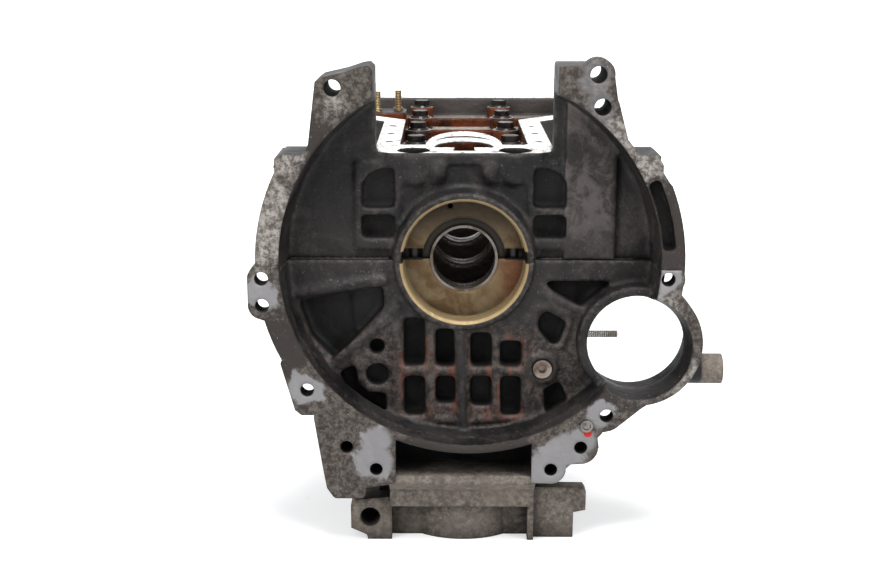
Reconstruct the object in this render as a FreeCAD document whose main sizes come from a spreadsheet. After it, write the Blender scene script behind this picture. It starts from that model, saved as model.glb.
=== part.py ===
import FreeCAD, Part
import math
import os
import re
import Sketcher

# A four-cylinder aluminium engine block with its lower crankcase, standing on its head face.
# Origin: on the crank axis, where the straight wall of the rear seal bore begins.
# +Y runs along the crank to the timing end, +Z is the sump side, +X the starter side.

doc = FreeCAD.newDocument("engine_block")
sheet = doc.addObject("Spreadsheet::Sheet", "Sizes")

SIZES = (
    # Crank line
    ("bore_pitch", 87.5, "from one cylinder to the next"),
    ("rear_web_y", 22.0, "middle of the rear main bearing"),
    ("web_thickness", 20.0, "each main bearing web"),
    ("journal_bore", 50.0, "inside the bearing shells"),
    ("shell_thickness", 2.0, "one bearing shell"),
    ("shell_width", 18.0, "one bearing shell along the crank"),
    ("shell_groove", 3.0, "oil groove of a block shell"),
    ("seal_bore", 97.4, "rear crank seal"),
    ("seal_depth", 12.0, "straight wall of the seal bore"),
    ("seal_chamfer", 1.8, "in front of that wall"),
    ("seal_boss_r", 55.5, "outside of the seal boss at its mouth"),
    ("seal_boss_draft", 3.0, "how much the boss widens to its root"),
    ("step_r", 33.5, "shallow step above the rear bearing"),
    ("step_depth", 3.0, "of that step"),
    ("nose_bore", 66.0, "crank nose opening at the timing end"),
    ("swing_r", 80.0, "room for the turning crank"),
    ("timing_wall", 20.0, "beyond the front main bearing"),
    # Cylinders and deck
    ("cylinder_bore", 79.0, "inside the liners"),
    ("liner_thickness", 2.0, "cast iron liner"),
    ("liner_top", 102.0, "crank axis to the crank end of the liners"),
    ("bore_relief", 1.0, "how much wider the bores run on past the liners"),
    ("barrel_wall", 4.0, "aluminium round a liner"),
    ("jacket_gap", 8.0, "water space"),
    ("jacket_wall", 6.0, "outside the water space"),
    ("jacket_top", 150.0, "crank axis to the closed end of the water space"),
    ("deck_height", 238.0, "crank axis to the head face"),
    ("head_bolt_x", 50.0, "head bolts from the middle plane"),
    ("head_bolt_r", 5.0, "threaded holes for the head bolts"),
    ("head_bolt_depth", 85.0, "of those holes"),
    ("jacket_half_width", 62.0, "outside of the block beside the cylinders"),
    ("skirt_half_width", 92.0, "outside of the crankcase at the split"),
    # Lower crankcase
    ("sump_height", 86.0, "crank axis to the sump face"),
    ("sump_rail_depth", 10.0, "flange round the sump opening"),
    ("sump_front_y", 9.0, "rear edge of the sump face"),
    ("neck_half_width", 71.0, "narrow half of the sump face"),
    ("neck_opening", 52.0, "half opening in the narrow half"),
    ("neck_end_y", 196.0, "where the sump face starts to widen"),
    ("flare_length", 54.0, "over which it widens"),
    ("wide_half_width", 118.0, "wide half of the sump face"),
    ("sump_rail_width", 18.0, "machined rail in the wide half"),
    ("rear_plate_y", 50.0, "end of the plate above the rear bearing"),
    ("saddle_height", 68.0, "web tops between the bolt pads"),
    ("sump_hole_r", 3.0, "threaded holes for the sump bolts"),
    ("sump_hole_depth", 16.0, "of those holes"),
    # Bolts that clamp the lower crankcase
    ("cap_bolt_spacing", 80.0, "across the crank axis"),
    ("cap_bolt_r", 5.0, "shank"),
    ("cap_bolt_reach", 45.0, "below the split"),
    ("cap_head_height", 6.9, "flange and hexagon"),
    ("cap_head_flange", 1.8, "thickness of the flange under the hexagon"),
    ("cap_head_r", 9.6, "flange radius"),
    ("cap_hex_r", 7.6, "hexagon, centre to corner"),
    ("cap_pad_r", 12.0, "raised pad under a head"),
    ("cap_pad_height", 78.6, "crank axis to the pads"),
    ("rear_seat_height", 66.0, "counterbored seats of the rear pair"),
    ("counterbore_r", 12.2, "of the rear pair"),
    ("hole_gap", 0.5, "clearance round a shank"),
    ("thread_gap", 0.05, "between a thread and its hole"),
    ("rail_bolt_x", 99.0, "bolts along the split, from the middle plane"),
    ("rail_bolt_y", 65.0, "first of these bolts"),
    ("rail_bolt_r", 4.0, "their shank"),
    ("rail_boss_r", 9.5, "bosses for these bolts"),
    ("rail_boss_height", 22.0, "boss height each side of the split"),
    ("rail_head_r", 6.8, "their heads"),
    ("rail_head_height", 7.0, "of their heads"),
    ("dowel_r", 4.0, "dowels in the split"),
    ("dowel_length", 16.0, "of those dowels"),
    # Bell housing
    ("flange_y", -26.0, "face that the transmission bolts to"),
    ("flange_thickness", 16.0, "of the flange rim"),
    ("bell_x", 4.0, "bell centre from the crank axis, across"),
    ("bell_z", 3.0, "bell centre from the crank axis, up"),
    ("bell_r", 148.0, "bell opening at the flange"),
    ("bell_draft", 4.0, "how much the bell narrows to its floor"),
    ("bell_wall", 6.0, "wall of the bell behind the rim"),
    ("rim_width", 18.0, "flange rim"),
    ("block_floor_y", 6.0, "rib faces below the split"),
    ("upper_floor_y", 13.0, "wall face above the split"),
    ("wall_back_y", 24.0, "back of the bell's floor"),
    ("pocket_depth", 14.0, "between the ribs"),
    ("frame_height", 3.0, "raised frames round the pockets above the split"),
    ("mouth_half_width", 69.5, "gap between the ears"),
    ("flange_boss_r", 12.0, "round the lower flange holes"),
    ("flange_hole_r", 5.4, "holes for the transmission bolts"),
    ("flange_thread_r", 5.2, "threaded holes in the feet"),
    ("flange_thread_depth", 26.0, "of those holes"),
    ("foot_hole_x", 70.0, "lower pair of threaded holes"),
    ("foot_hole_z", -164.7, "lower pair of threaded holes"),
    ("side_hole_x", 93.5, "upper pair of threaded holes"),
    ("side_hole_z", -145.8, "upper pair of threaded holes"),
    ("shoulder_hole_x", 157.6, "holes just below the split"),
    ("shoulder_hole_z", -7.5, "holes just below the split"),
    ("dowel_hole_x", 97.7, "transmission dowel"),
    ("dowel_hole_z", -127.5, "transmission dowel"),
    ("flange_dowel_r", 5.0, "outside of the transmission dowel"),
    ("flange_dowel_proud", 1.0, "how far the transmission dowel stands out"),
    ("flange_dowel_length", 16.0, "of the transmission dowel"),
    ("starter_x", 136.8, "starter opening"),
    ("starter_z", -64.0, "starter opening"),
    ("starter_r", 38.5, "starter opening"),
    ("starter_length", 6.0, "straight wall of that opening, behind the rim"),
    ("starter_wall", 8.0, "ring round the opening inside the bell"),
    ("starter_ring_z", -60.5, "middle of the rim round the opening"),
    ("starter_ring_r", 50.0, "outside of that rim"),
    ("window_half_width", 54.5, "recess under the bell"),
    ("window_bottom", -171.0, "lower edge of that recess"),
    ("ear_hole_r", 6.4, "holes in the ears"),
    # Small pieces
    ("gallery_x", 63.6, "oil gallery beside the rear bearing"),
    ("gallery_z", -89.0, "oil gallery beside the rear bearing"),
    ("gallery_r", 5.0, "oil gallery"),
    ("plug_r", 7.6, "screw plug of the gallery"),
    ("plug_depth", 9.0, "how far the plug goes in"),
    ("plug_boss_r", 12.8, "boss round the plug"),
    ("stud_r", 3.0, "sump and side studs"),
    ("stud_height", 19.0, "sump studs above their seats"),
    ("stud_reach", 10.0, "threaded into the casting"),
    ("stud_collar_r", 4.6, "collar of a stud"),
    ("stud_collar", 2.5, "thickness of that collar"),
    ("side_stud_y", 100.0, "side stud along the block"),
    ("side_stud_z", -88.0, "side stud height"),
    ("side_boss_x", 104.0, "end of the side stud's boss"),
)

for row, (alias, size, note) in enumerate(SIZES, 1):
    sheet.set(f"A{row}", alias)
    sheet.set(f"B{row}", str(size))
    sheet.setAlias(f"B{row}", alias)
    sheet.set(f"C{row}", note)
doc.recompute()

ALIASES = {alias for alias, _, _ in SIZES}
DRAWN = {alias: size for alias, size, _ in SIZES}
WORD = re.compile(r"[a-z][a-z_]*")
TURNS = {
    "X": FreeCAD.Rotation(FreeCAD.Vector(0, 1, 0), 90),
    "Y": FreeCAD.Rotation(FreeCAD.Vector(1, 0, 0), -90),
    "Z": FreeCAD.Rotation(),
}
SKETCH_TURNS = {
    "X": FreeCAD.Rotation(FreeCAD.Vector(1, 1, 1), 120),
    "Y": FreeCAD.Rotation(FreeCAD.Vector(1, 0, 0), 90),
    "Z": FreeCAD.Rotation(),
}
BEYOND = 2.0  # how far a cutting tool stands clear of the face that it starts from
CYLINDERS = 4
WEBS = CYLINDERS + 1
SIDES = (-1, 1)
nodes = {}


def tied(text):
    """The expression with each size named in it tied to its cell."""
    return WORD.sub(lambda word: "Sizes." + word[0] if word[0] in ALIASES else word[0], str(text))


def bind(item, **expressions):
    for name, text in expressions.items():
        item.setExpression(name, tied(text))
    return item


def place(item, x=0, y=0, z=0):
    for axis, text in zip("xyz", (x, y, z)):
        item.setExpression("Placement.Base." + axis, tied(text))
    return item


def rod(name, axis, radius, length, x=0, y=0, z=0):
    """A cylinder that starts at x, y, z and runs along the axis."""
    item = doc.addObject("Part::Cylinder", name)
    item.Placement.Rotation = TURNS[axis]
    bind(item, Radius=radius, Height=length)
    return place(item, x, y, z)


def taper(name, axis, start_radius, end_radius, length, x=0, y=0, z=0):
    item = doc.addObject("Part::Cone", name)
    item.Placement.Rotation = TURNS[axis]
    bind(item, Radius1=start_radius, Radius2=end_radius, Height=length)
    return place(item, x, y, z)


def slab(name, x, y, z):
    """A box; each of x, y and z is a pair of expressions, low and high."""
    item = doc.addObject("Part::Box", name)
    spans = [f"({high}) - ({low})" for low, high in (x, y, z)]
    bind(item, Length=spans[0], Width=spans[1], Height=spans[2])
    return place(item, x[0], y[0], z[0])


def outline(name, axis, points, level):
    """A closed outline across the axis, each corner tied to the sheet."""
    sketch = doc.addObject("Sketcher::SketchObject", name)
    sketch.Placement.Rotation = SKETCH_TURNS[axis]
    corners = []
    for index in range(len(points)):
        turn = FreeCAD.Rotation(FreeCAD.Vector(0, 0, 1), 360.0 * index / len(points))
        corners.append(turn.multVec(FreeCAD.Vector(100, 0, 0)))
    for index, corner in enumerate(corners):
        following = corners[(index + 1) % len(corners)]
        sketch.addGeometry(Part.LineSegment(corner, following))
    for index, (across, up) in enumerate(points):
        last = (index + 1) % len(points)
        sketch.addConstraint(Sketcher.Constraint("Coincident", index, 2, last, 1))
        for kind, text in (("DistanceX", across), ("DistanceY", up)):
            number = sketch.addConstraint(Sketcher.Constraint(kind, -1, 1, index, 1, 50.0))
            sketch.setExpression(f"Constraints[{number}]", tied(text))
    sketch.setExpression("Placement.Base." + axis.lower(), tied(level))
    return sketch


def offset(name, source, distance):
    item = doc.addObject("Part::Offset2D", name)
    item.Source = source
    item.Join = "Arc"
    return bind(item, Value=distance)


def extrude(name, base, axis, length):
    item = doc.addObject("Part::Extrusion", name)
    item.Base = base
    item.DirMode = "Custom"
    item.Dir = TURNS[axis].multVec(FreeCAD.Vector(0, 0, 1))
    item.Solid = True
    return bind(item, LengthFwd=length)


def prism(name, axis, points, low, high, corner=None, grow=None):
    """An outline from low to high along the axis. Its corners are rounded by
    corner, or the outline is grown by grow, which rounds them too."""
    base = outline(name + "_outline", axis, points, low)
    if corner:
        base = offset(name + "_inset", base, f"-({corner})")
        base = offset(name + "_rounded", base, corner)
    if grow:
        base = offset(name + "_grown", base, grow)
    return extrude(name, base, axis, f"({high}) - ({low})")


def fuse(name, *shapes):
    item = doc.addObject("Part::MultiFuse", name)
    item.Shapes = list(shapes)
    return item


def cut(name, base, *tools):
    item = doc.addObject("Part::Cut", name)
    item.Base = base
    item.Tool = tools[0] if len(tools) == 1 else fuse(name + "_tools", *tools)
    return item


def common(name, first, second):
    item = doc.addObject("Part::Common", name)
    item.Base = first
    item.Tool = second
    return item


def group(name, pieces):
    item = doc.addObject("Part::Compound", name)
    item.Links = pieces
    return item


def copy_of(name, master, x=0, y=0, z=0):
    """The master again, its own place moved by x, y, z."""
    item = doc.addObject("App::Link", name)
    item.LinkedObject = master
    item.LinkTransform = True
    item.setExpression("LinkPlacement.Base.x", tied(x))
    item.setExpression("LinkPlacement.Base.y", tied(y))
    item.setExpression("LinkPlacement.Base.z", tied(z))
    return item


def node(name, item):
    item.Label = name
    nodes[name] = item
    return item


def mirrored(points):
    """Right-hand points, top first, and the same on the left, as one outline."""
    left = [(f"-({across})", up) for across, up in reversed(points)]
    return list(points) + left


def with_bell(*points):
    """These places on the flange, tied so that they move out as the bell grows."""
    tied_points = []
    for x, z in points:
        across, up = drawn(x) - drawn("bell_x"), drawn(z) - drawn("bell_z")
        reach = math.hypot(across, up)
        growth = f"(bell_r - {drawn('bell_r')})"
        tied_points.append((f"{x} + {growth} * {across / reach:.4f}", f"{z} + {growth} * {up / reach:.4f}"))
    return tied_points


def drawn(text):
    """The number that a size, its negative or a plain number has on the sheet."""
    word = str(text).lstrip("-")
    size = DRAWN[word] if word in DRAWN else float(word)
    return -size if str(text).startswith("-") else size


def web_y(index):
    """Middle of a main bearing; 0 is the rear one."""
    return f"(rear_web_y + {index} * bore_pitch)"


def cylinder_y(index):
    return f"(rear_web_y + {index + 0.5} * bore_pitch)"


front_y = f"({web_y(CYLINDERS)} + web_thickness / 2 + timing_wall)"
housing_r = "(journal_bore / 2 + shell_thickness)"
liner_r = "(cylinder_bore / 2 + liner_thickness)"
barrel_r = f"({liner_r} + barrel_wall)"
water_r = f"({barrel_r} + jacket_gap)"
jacket_r = f"({water_r} + jacket_wall)"
rim_back = "(flange_y + flange_thickness)"
foot_back = "(block_floor_y + 10)"
flare_end_y = "(neck_end_y + flare_length)"
wide_opening = "(wide_half_width - sump_rail_width)"


# Bell housing: one form for both castings, divided at the split afterwards

def bell_rim():
    """Flange rim with its boss lobes, feet, ears and starter ring."""
    rim = rod("rim", "Y", "bell_r + rim_width", "flange_thickness", "bell_x", "flange_y", "bell_z")
    left_lobe = prism(
        "left_lobe", "Y",
        with_bell(("-shoulder_hole_x", "shoulder_hole_z"), ("-shoulder_hole_x", -29), (-125, -40), (-125, 5)),
        "flange_y", rim_back, grow=11)
    left_block = prism(
        "left_block", "Y",
        with_bell((-145, -75), (-134, -115), (-129, -119), (-116, -119), (-100, -100), (-120, -60)),
        "flange_y", rim_back, corner=3)
    left_foot = prism(
        "left_foot", "Y",
        with_bell((-119.5, -120), (-113, -163), (-110, -181), (-104, -190), (-79, -190), (-79, -181),
                  ("-window_half_width", -177), ("-window_half_width", -138), (-100, -95)),
        "flange_y", foot_back, corner=4)
    right_foot = prism(
        "right_foot", "Y",
        with_bell(("window_half_width", -130), ("window_half_width", -176.4), (72, -176.6), (82.2, -163.6),
                  (86, -160.2), (97, -159.4), (108, -146), (106.8, -137.5), (111, -133), (90, -112)),
        "flange_y", foot_back, corner=2)
    lobes = []
    for name, point, radius in (
            ("foot_lobe", ("foot_hole_x", "foot_hole_z"), "flange_boss_r"),
            ("side_lobe", ("side_hole_x", "side_hole_z"), "flange_boss_r + 2")):
        (x, z), = with_bell(point)
        lobes.append(rod(name, "Y", radius, f"{foot_back} - flange_y", x, "flange_y", z))
    starter_foot = prism(
        "starter_foot", "Y",
        with_bell((104, -121), (113, -119), (133, -102), (168, -79), ("starter_x", "starter_z"), (90, -100)),
        "flange_y", rim_back, grow="flange_boss_r + 1")
    starter_ring = rod(
        "starter_ring", "Y", "starter_ring_r", "flange_thickness + starter_length",
        "starter_x", "flange_y", "starter_ring_z")
    right_lobe = rod("right_lobe", "Y", 13, "flange_thickness", "shoulder_hole_x", "flange_y", "shoulder_hole_z")
    lug = rod("lug", "X", 12, 60, 146, f"{rim_back} + 6", -86)
    left_ear = prism(
        "left_ear", "Y",
        [("-mouth_half_width", 152.5)] + with_bell(
            (-73, 156), (-79, 155), (-90, 151.3), (-108.7, 147), (-113, 144), (-119, 98), (-137, 95), (-146, 80),
            (-120, 50)) + [("-mouth_half_width", 60)],
        "flange_y", "wall_back_y - 3", corner=1.5)
    right_ear = prism(
        "right_ear", "Y",
        [("mouth_half_width", 155.7)] + with_bell(
            (101, 155.7), (111, 150), (114, 131), (117.5, 123.6), (127, 97), (148, 90), (120, 50))
        + [("mouth_half_width", 60)],
        "flange_y", "wall_back_y - 3", corner=2)
    (x, z), = with_bell((99.2, 149.5))
    ear_lobe = rod("ear_lobe", "Y", 12.3, "flange_thickness", x, "flange_y", z)
    window = slab(
        "window", ("-window_half_width", "window_half_width"),
        (f"flange_y - {BEYOND}", "wall_back_y"), ("window_bottom - 12", -140))
    plates = fuse(
        "plates", rim, left_lobe, left_block, left_foot, right_foot, *lobes, starter_foot, starter_ring,
        right_lobe, lug, left_ear, right_ear, ear_lobe)
    top_bosses = (
        slab("left_top_boss", ("bell_x - bell_r - 1", "bell_x - bell_r + 18"), ("flange_y", 34), (60, "sump_height")),
        slab("right_top_boss", ("bell_x + bell_r - 26", "bell_x + bell_r - 1.5"), (rim_back, 33), (58, "sump_height")))
    return fuse("bossed_rim", cut("windowed_rim", plates, window, *shoulder_cuts()), *top_bosses)


def shoulder_cuts():
    """What is milled off the rim outside each ear, down to the top bosses."""
    top = "sump_height + 3"
    left = with_bell((-112.6, 146), (-118.8, 97.5), (-122, 90), (-145.5, 90), (-145.5, 76), (-149.5, 70))
    right = with_bell((114.5, 131), (123.8, 97), (125.5, 90), (150.3, 90), (150.3, 76), (156.8, 66))
    cuts = []
    for name, edge, side in (("left_shoulder_cut", left, -1), ("right_shoulder_cut", right, 1)):
        edge[2], edge[3] = (edge[2][0], top), (edge[3][0], top)
        corners = [(f"{side} * 300", edge[-1][1]), (f"{side} * 300", 300), (edge[0][0], 300)]
        cuts.append(prism(name, "Y", edge + corners, f"flange_y - {BEYOND}", "wall_back_y + 1"))
    return cuts


def bell():
    """The rim, its wall and its floor, open where the flywheel turns."""
    wall = rod(
        "bell_outside", "Y", "bell_r + bell_wall", f"wall_back_y - {rim_back}", "bell_x", rim_back, "bell_z")
    lip = rod("bell_lip", "Y", "bell_r + bell_wall", "flange_thickness", "bell_x", "flange_y", "bell_z")
    cavity = taper(
        "bell_cavity", "Y", "bell_r", "bell_r - bell_draft", "block_floor_y - flange_y",
        "bell_x", "flange_y", "bell_z")
    upper_floor = taper(
        "upper_floor", "Y", "bell_r", "bell_r - bell_draft", "upper_floor_y - flange_y",
        "bell_x", "flange_y", "bell_z")
    above = slab("above_split", (-200, 200), ("flange_y", "upper_floor_y"), (0, 200))
    mouth = slab(
        "mouth", ("-mouth_half_width", "mouth_half_width"),
        (f"flange_y - {BEYOND}", "wall_back_y + 10"), ("sump_height", 200))
    hollow = cut(
        "hollow_bell", fuse("closed_bell", bell_rim(), wall, lip), cavity,
        common("upper_cavity", upper_floor, above), mouth)
    starter_rim = rod(
        "starter_rim", "Y", "starter_r + starter_wall", f"wall_back_y - {rim_back}", "starter_x", rim_back, "starter_z")
    starter_hole = [
        taper("starter_mouth", "Y", "starter_r + 4", "starter_r", "flange_thickness", "starter_x", "flange_y", "starter_z"),
        rod("starter_hole", "Y", "starter_r", f"starter_length + {BEYOND}", "starter_x", f"{rim_back} - 1", "starter_z"),
        rod("starter_relief", "Y", "starter_r + starter_wall - 3.5", "wall_back_y + 20",
            "starter_x", f"{rim_back} + starter_length", "starter_z"),
    ]
    return cut("bell", fuse("bell_with_starter", hollow, starter_rim), *starter_hole, *bell_holes())


def bell_holes():
    """Bolt holes, the long pocket in the rim and the lightening pockets."""
    places = {
        "left_shoulder": ("-shoulder_hole_x", "shoulder_hole_z"),
        "right_shoulder": ("shoulder_hole_x", "shoulder_hole_z"),
        "left_lower": ("-shoulder_hole_x", -29),
        "left_block_hole": (-124, -98),
        "right_low": (113.2, -119),
        "left_foot": ("-foot_hole_x", "foot_hole_z"),
        "right_foot": ("foot_hole_x", "foot_hole_z"),
        "left_side": ("-side_hole_x", "side_hole_z"),
        "right_side": ("side_hole_x", "side_hole_z"),
        "left_ear": (-99.9, 139.5),
        "right_ear": (99.2, 149.5),
        "low_ear": (102.9, 125.4),
    }
    holes = []
    front = f"flange_y - {BEYOND}"
    for (name, place_on_flange) in places.items():
        (x, z), = with_bell(place_on_flange)
        radius, depth = "flange_hole_r", "flange_thickness + 2"
        if name.endswith(("_foot", "_side")):
            radius, depth = "flange_thread_r", "flange_thread_depth"
        elif name.endswith("_ear"):
            radius, depth = "ear_hole_r", 88
        holes.append(rod(name + "_hole", "Y", radius, f"{depth} + {BEYOND}", x, front, z))
    (x, z), = with_bell(("dowel_hole_x", "dowel_hole_z"))
    holes.append(rod(
        "dowel_hole", "Y", "flange_dowel_r", f"flange_dowel_length - flange_dowel_proud + {BEYOND}", x, front, z))
    holes.append(rim_slot())
    for name, x, y in (("left_top", "bell_x - bell_r + 8", 18), ("right_top", "bell_x + bell_r - 12", 2),
                       ("right_back", "bell_x + bell_r - 12", 20)):
        holes.append(rod(name + "_boss_hole", "Z", 4, 20, x, y, "sump_height - 18"))
    return holes


def rim_slot():
    """The long pocket that follows the rim beside the right ear."""
    middle_r = "(bell_r + rim_width / 2 - 2)"
    points = []
    for turn in (6, 12, 18, 24):
        points.append((f"bell_x + {middle_r} * cos({turn})", f"bell_z + {middle_r} * sin({turn})"))
    for turn in (24, 18, 12, 6):
        points.append((f"bell_x + ({middle_r} - 2) * cos({turn})", f"bell_z + ({middle_r} - 2) * sin({turn})"))
    return prism("rim_slot", "Y", points, f"flange_y - {BEYOND}", "flange_y + 9", grow=4)


def crank_line_cuts(word):
    """Seal bore, shell seats and crank nose opening, for one casting."""
    return [
        rod(f"{word}_seal_bore", "Y", "seal_bore / 2", f"seal_depth + {BEYOND}", 0, -BEYOND, 0),
        taper(f"{word}_seal_chamfer", "Y", "seal_bore / 2 + seal_chamfer", "seal_bore / 2", "seal_chamfer",
              0, "-seal_chamfer", 0),
        rod(f"{word}_housing", "Y", housing_r, front_y, 0, 0, 0),
        rod(f"{word}_nose", "Y", "nose_bore / 2", f"timing_wall + {BEYOND}", 0, f"{front_y} - timing_wall", 0),
        taper(f"{word}_housing_lip", "Y", f"{housing_r} + 1.2", housing_r, 1.2, 0, "seal_depth", 0),
    ]


def bay(word, index):
    """Room for the crank between two webs."""
    return rod(
        f"{word}_bay_{index}", "Y", "swing_r", "bore_pitch - web_thickness",
        0, f"{web_y(index)} + web_thickness / 2", 0)


# Cylinder block, below the split

LATTICE_COLUMNS = (
    # across, width, upper pocket's top, lower pocket's bottom
    (-39.8, 17, -48, -130.5),
    (-14.6, 16, -57, -120),
    (14.2, 17, -60, -122),
    (38.2, 17, -67, -131),
)
LATTICE_BAR = (-88, -97)  # the cross rib between the two rows of pockets
WALL_POCKETS = {
    "fan_pocket": ((-133, -34), (-65, -21), (-64, -39), (-104, -83), (-123, -63)),
    "corner_pocket": (
        (-101, -94), (-88, -87), (-86, -103), (-78, -111), (-63, -112), (-63, -132), (-77, -125), (-97, -107)),
    "six_sided_pocket": ((60, -53), (62, -44.5), (67.5, -42), (83.5, -51.5), (75.5, -71), (71.5, -70.5), (60, -57)),
    "upper_right_pocket": ((63, -17), (125, -17), (111, -24), (99, -35), (94, -39), (70, -24.5)),
    "lower_right_pocket": ((65.5, -108), (78, -101), (85, -117), (67, -130)),
}


def wall_pockets():
    pockets = []
    top, bottom = LATTICE_BAR
    floor = "block_floor_y + pocket_depth"
    for index, (across, width, upper_top, lower_bottom) in enumerate(LATTICE_COLUMNS):
        for row, low, high in (("upper", top, upper_top), ("lower", lower_bottom, bottom)):
            left, right = across - width / 2, across + width / 2
            pockets.append(prism(
                f"lattice_{row}_{index}", "Y", [(left, low), (right, low), (right, high), (left, high)],
                f"block_floor_y - {BEYOND}", floor, corner=3))
    for name, points in WALL_POCKETS.items():
        pockets.append(prism(name, "Y", list(points), f"block_floor_y - {BEYOND}", floor, corner=2.5))
    for name, radius, z in (("small_wall_hole", 6.3, -71.6), ("large_wall_hole", 9.3, -95.5)):
        pockets.append(rod(name, "Y", radius, f"pocket_depth + {BEYOND}", -70, f"block_floor_y - {BEYOND}", z))
    return pockets


def deck_end():
    """What stands between the bell and the head face at the rear."""
    profile = [("flange_y + 2", "window_bottom"), ("flange_y + 2", "window_bottom - 7.5"), (-8, -190), (-6, -205.5),
               (16, -205.5), (16, "window_bottom")]
    ledge = prism("ledge", "X", profile, -60, 58)
    left_block = prism(
        "left_deck_block", "Y",
        [(-89, -203), (-93, -208), (-93, -228), (-80, -234), (-78, "-deck_height - 4"), (-59, "-deck_height - 4"),
         (-59, -200)],
        1, 40)
    left_hole = rod("left_deck_hole", "Y", 8.3, 24, -77, -1, -218)
    rib = slab("deck_rib", (53.6, 58.7), (0, 16), ("-deck_height - 4", -200))
    right_block = prism(
        "right_deck_block", "Y",
        [(58, -193), (100, -193.5), (102.3, -197), (102.3, -213.5), (92.2, -215.5), (92.2, "-deck_height - 4"),
         (58, "-deck_height - 4")],
        6, 18)
    bulge = rod(
        "end_bulge", "Z", jacket_r, "deck_height + window_bottom - 2", 0, f"{cylinder_y(0)} - 5", "-deck_height")
    return cut("deck_end", fuse("deck_end_solid", ledge, left_block, rib, right_block, bulge), left_hole)


def block_sides():
    """Ribs at each web, the head rail, split bosses and the side stud's boss."""
    parts = []
    for index in range(WEBS):
        for side, word in zip(SIDES, ("left", "right")):
            parts.append(prism(
                f"{word}_rib_{index}", "Y",
                [(f"{side} * skirt_half_width", -20), (f"{side} * (skirt_half_width - 5)", -70),
                 (f"{side} * (jacket_half_width + 8)", -120), (f"{side} * (jacket_half_width + 8)", "-deck_height"),
                 (f"{side} * (jacket_half_width - 8)", "-deck_height"), (f"{side} * (jacket_half_width - 8)", -20)],
                f"{web_y(index)} - 4", f"{web_y(index)} + 4"))
    parts.append(slab(
        "head_rail", ("-jacket_half_width - 5", "jacket_half_width + 5"), (f"{web_y(0)} - 6", front_y),
        ("-deck_height", "-deck_height + 12")))
    parts.append(rod(
        "side_stud_boss", "X", 11, "side_boss_x - 60", 60, "side_stud_y", "side_stud_z"))
    return parts + rail_bosses("block", "-rail_boss_height", 0)


def rail_bosses(word, low, high):
    bosses = []
    for side, name in zip(SIDES, ("left", "right")):
        for index in range(CYLINDERS):
            bosses.append(prism(
                f"{word}_{name}_boss_{index}", "Z",
                [(f"{side} * rail_bolt_x", f"rail_bolt_y + {index} * bore_pitch"),
                 (f"{side} * (skirt_half_width - 6)", f"rail_bolt_y + {index} * bore_pitch - 4"),
                 (f"{side} * (skirt_half_width - 6)", f"rail_bolt_y + {index} * bore_pitch + 4")],
                low, high, grow="rail_boss_r"))
    return bosses


def cylinder_block():
    body = prism(
        "block_body", "Y",
        mirrored([("skirt_half_width", 20), ("skirt_half_width", -40), ("skirt_half_width - 18", -92),
                  ("jacket_half_width", -110), ("jacket_half_width", "-deck_height - 20")]),
        "rear_web_y - web_thickness / 2", front_y, corner=8)
    boss = taper(
        "block_seal_boss", "Y", "seal_boss_r", "seal_boss_r + seal_boss_draft", "block_floor_y + 8 + seal_chamfer",
        0, "-seal_chamfer", 0)
    plug_boss = rod("plug_boss", "Y", "plug_boss_r", 16, "gallery_x", "block_floor_y - 4", "gallery_z")
    wall = cut(
        "pocketed_wall", fuse("block_wall", common("lower_bell", bell_form, below_split), body), *wall_pockets())
    castings = fuse("block_casting", wall, boss, plug_boss, deck_end(), *block_sides())
    trimmed = common("trimmed_block", castings, below_split)
    tools = crank_line_cuts("block")
    tools += [bay("block", index) for index in range(CYLINDERS)]
    water, barrels = [], []
    for index in range(CYLINDERS):
        y = cylinder_y(index)
        below = "-deck_height - 1"
        tools.append(rod(f"liner_seat_{index}", "Z", liner_r, "deck_height - liner_top + 1", 0, y, below))
        tools.append(rod(f"bore_run_{index}", "Z", "cylinder_bore / 2 + bore_relief", 60, 0, y, "-liner_top - 0.5"))
        water.append(rod(f"water_{index}", "Z", water_r, "deck_height - jacket_top + 1", 0, y, below))
        barrels.append(rod(f"barrel_{index}", "Z", barrel_r, "deck_height - jacket_top + 3", 0, y, below))
    tools.append(cut("water_jacket", fuse("water_space", *water), *barrels))
    for index in range(WEBS):
        for side, word in zip(SIDES, ("left", "right")):
            y = web_y(index)
            tools.append(rod(
                f"{word}_head_hole_{index}", "Z", "head_bolt_r", "head_bolt_depth + 1",
                f"{side} * head_bolt_x", y, "-deck_height - 1"))
            tools.append(rod(
                f"{word}_cap_thread_{index}", "Z", "cap_bolt_r + thread_gap", "cap_bolt_reach + 2.5",
                f"{side} * cap_bolt_spacing / 2", y, "-cap_bolt_reach - 1.5"))
    tools += split_holes("block", "rail_bolt_r + hole_gap", "-rail_boss_height - 1", 1)
    tools += [
        rod("gallery", "Y", "gallery_r", f"{front_y} - 10", "gallery_x", "block_floor_y", "gallery_z"),
        rod("plug_seat", "Y", "plug_r", "plug_depth + 1", "gallery_x", "block_floor_y - 5", "gallery_z"),
        rod("side_stud_hole", "X", "stud_r + thread_gap", "stud_reach + 1",
            "side_boss_x - stud_reach", "side_stud_y", "side_stud_z"),
    ]
    tools.append(end_recess("block", [(52, -60), (52, -225), (-52, -225), (-52, -60)]))
    return node("cylinder_block", cut("block_machined", trimmed, *tools))


def end_recess(word, points):
    """The sunk middle of the timing end."""
    return prism(f"{word}_end_recess", "Y", points, f"{front_y} - 6", f"{front_y} + 1", corner=8)


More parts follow.
